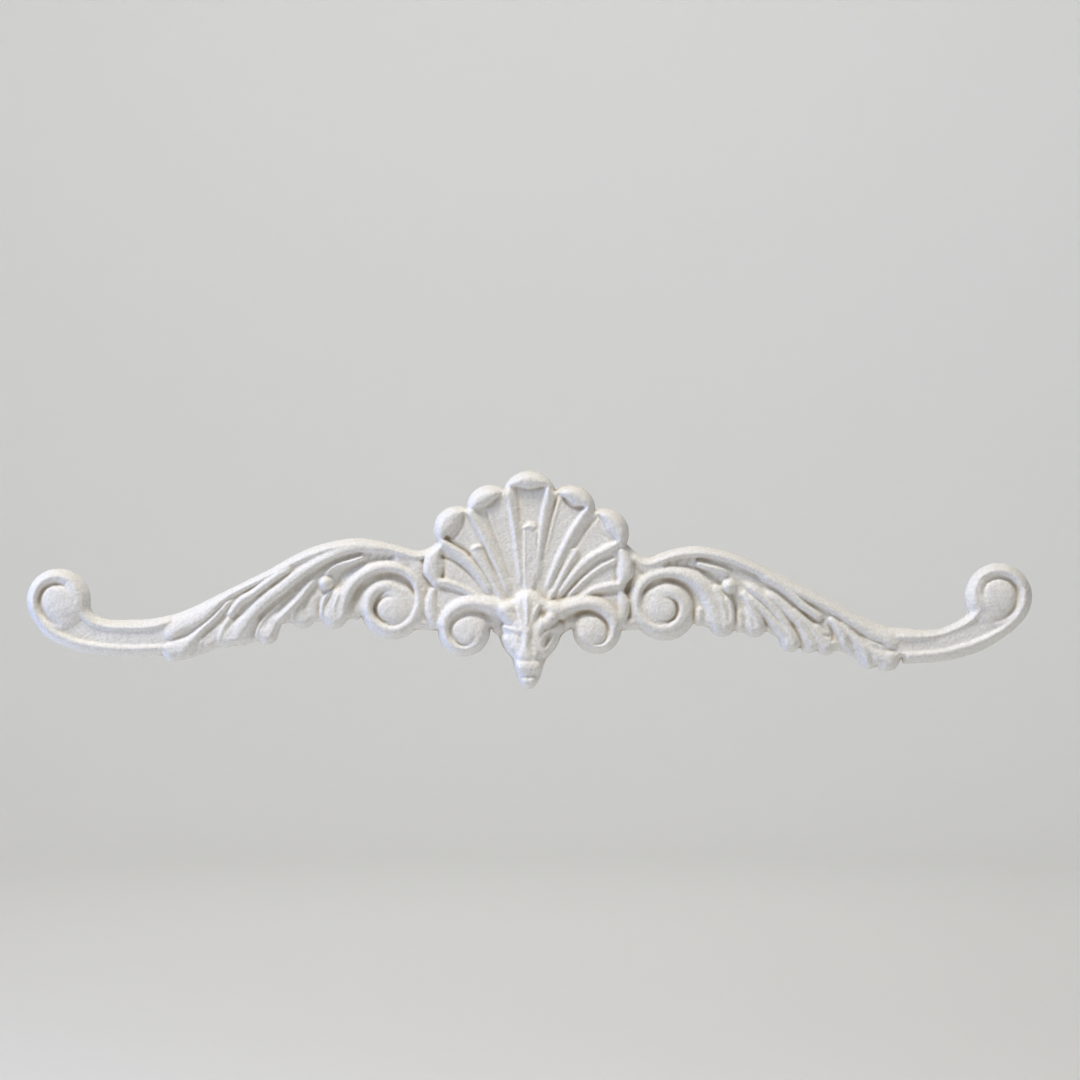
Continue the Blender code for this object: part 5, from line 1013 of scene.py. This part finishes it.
# %% Camera
PIXELS_WIDE, PIXELS_COVERED = 1080, 1009
PICTURE_WIDTH = UNIT * SPAN * PIXELS_WIDE / PIXELS_COVERED
AIM = np.array([4.4 * UNIT, -0.006, 32.5 * UNIT])
DISTANCE = 1.4
SENSOR = 36

camera_data = bpy.data.cameras.new("camera")
camera_data.sensor_width = SENSOR
camera_data.lens = SENSOR * DISTANCE / PICTURE_WIDTH
camera = show("camera", camera_data)
camera.location = (AIM[0], AIM[1] - DISTANCE, AIM[2])
camera.rotation_euler = (np.pi / 2, 0, 0)
bpy.context.scene.camera = camera
print(f"lens {camera_data.lens:.0f} mm at {DISTANCE} m")

# %% [markdown]
# A relief lives by its light. A warm soft key from above, slightly from the left, models the forms,
# and a weaker cool light, level from the left, fills the shade, as daylight does in the photograph. A
# third lamp lights the wall behind the moulding. None of them shows in the picture.

# %% Light


def lamp(name, direction, distance, size, power, code, aim=AIM):
    """A square area light that looks at the moulding, or at another aim, from a direction. Its
    distance and size are in metres and its power in watts."""
    data = bpy.data.lights.new(name, "AREA")
    data.size, data.energy, data.color = size, power, colour(code)[:3]
    light = show(name, data)
    out = np.array(direction, float)
    out /= np.linalg.norm(out)
    light.location = aim + distance * out
    light.rotation_euler = Vector(out).to_track_quat("Z", "Y").to_euler()
    light.visible_camera = False


BEHIND = np.array([0, 2.2, 0.1])
lamp("key_light", (-0.26, -0.33, 0.87), 1.6, 0.5, 22.5, "#FFFAF2")
lamp("cool_fill", (-0.95, -0.20, 0.05), 1.3, 0.5, 7.5, "#9AB8FF")
lamp("wall_light", (0, -1, 0.8), 1.5, 0.8, 5, "#FFFFFF", BEHIND)
world = bpy.data.worlds.new("studio")
world.use_nodes = True
sky = world.node_tree.nodes["Background"].inputs
sky["Color"].default_value, sky["Strength"].default_value = colour("#F1F1EE"), 0.06
bpy.context.scene.world = world
# The photograph's tones are plain sRGB, with no film curve that presses its highlights together.
bpy.context.scene.view_settings.view_transform = "Standard"
print("lights placed")

# %% [markdown]
# The moulding hangs as if held by its back, over a pale floor that sweeps up into a wall on every
# side, so that it can be looked at from all round.

# %% Floor
FLOOR_Z = -0.25
WALL_RADIUS = 2.2
WALL_TOP = 3.0
SWEEP, SWEEP_STEPS = 0.6, 14
TURNS = 72
HOLE = 0.02


def bowl():
    """A profile turned about Z: flat floor, a quarter circle, then an upright wall. One polygon
    closes the small hole in the middle."""
    angle = np.linspace(0, np.pi / 2, SWEEP_STEPS)
    radius = np.concatenate([[HOLE], WALL_RADIUS - SWEEP + SWEEP * np.sin(angle), [WALL_RADIUS]])
    z = np.concatenate([[FLOOR_Z], FLOOR_Z + SWEEP - SWEEP * np.cos(angle), [WALL_TOP]])
    turn = np.arange(TURNS) * 2 * np.pi / TURNS
    co = np.stack([np.outer(np.cos(turn), radius), np.outer(np.sin(turn), radius),
                   np.tile(z, (TURNS, 1))], axis=2).reshape(-1, 3)
    here = np.arange(TURNS)[:, None] * len(z) + np.arange(len(z) - 1)
    there = np.roll(here, -1, axis=0)
    quads = np.stack([here, here + 1, there + 1, there], axis=2).reshape(-1, 4)
    middle = (np.arange(TURNS) * len(z)).tolist()
    mesh = bpy.data.meshes.new("floor")
    mesh.from_pydata(co, [], quads.tolist() + [middle])
    mesh.shade_smooth()
    return mesh


floor = show("floor", bowl())
paper, _, shader = surface("backdrop_paper", 0.9)
shader.inputs["Base Color"].default_value = colour("#ECECE9")
floor.data.materials.append(paper)
print("floor at", FLOOR_Z)
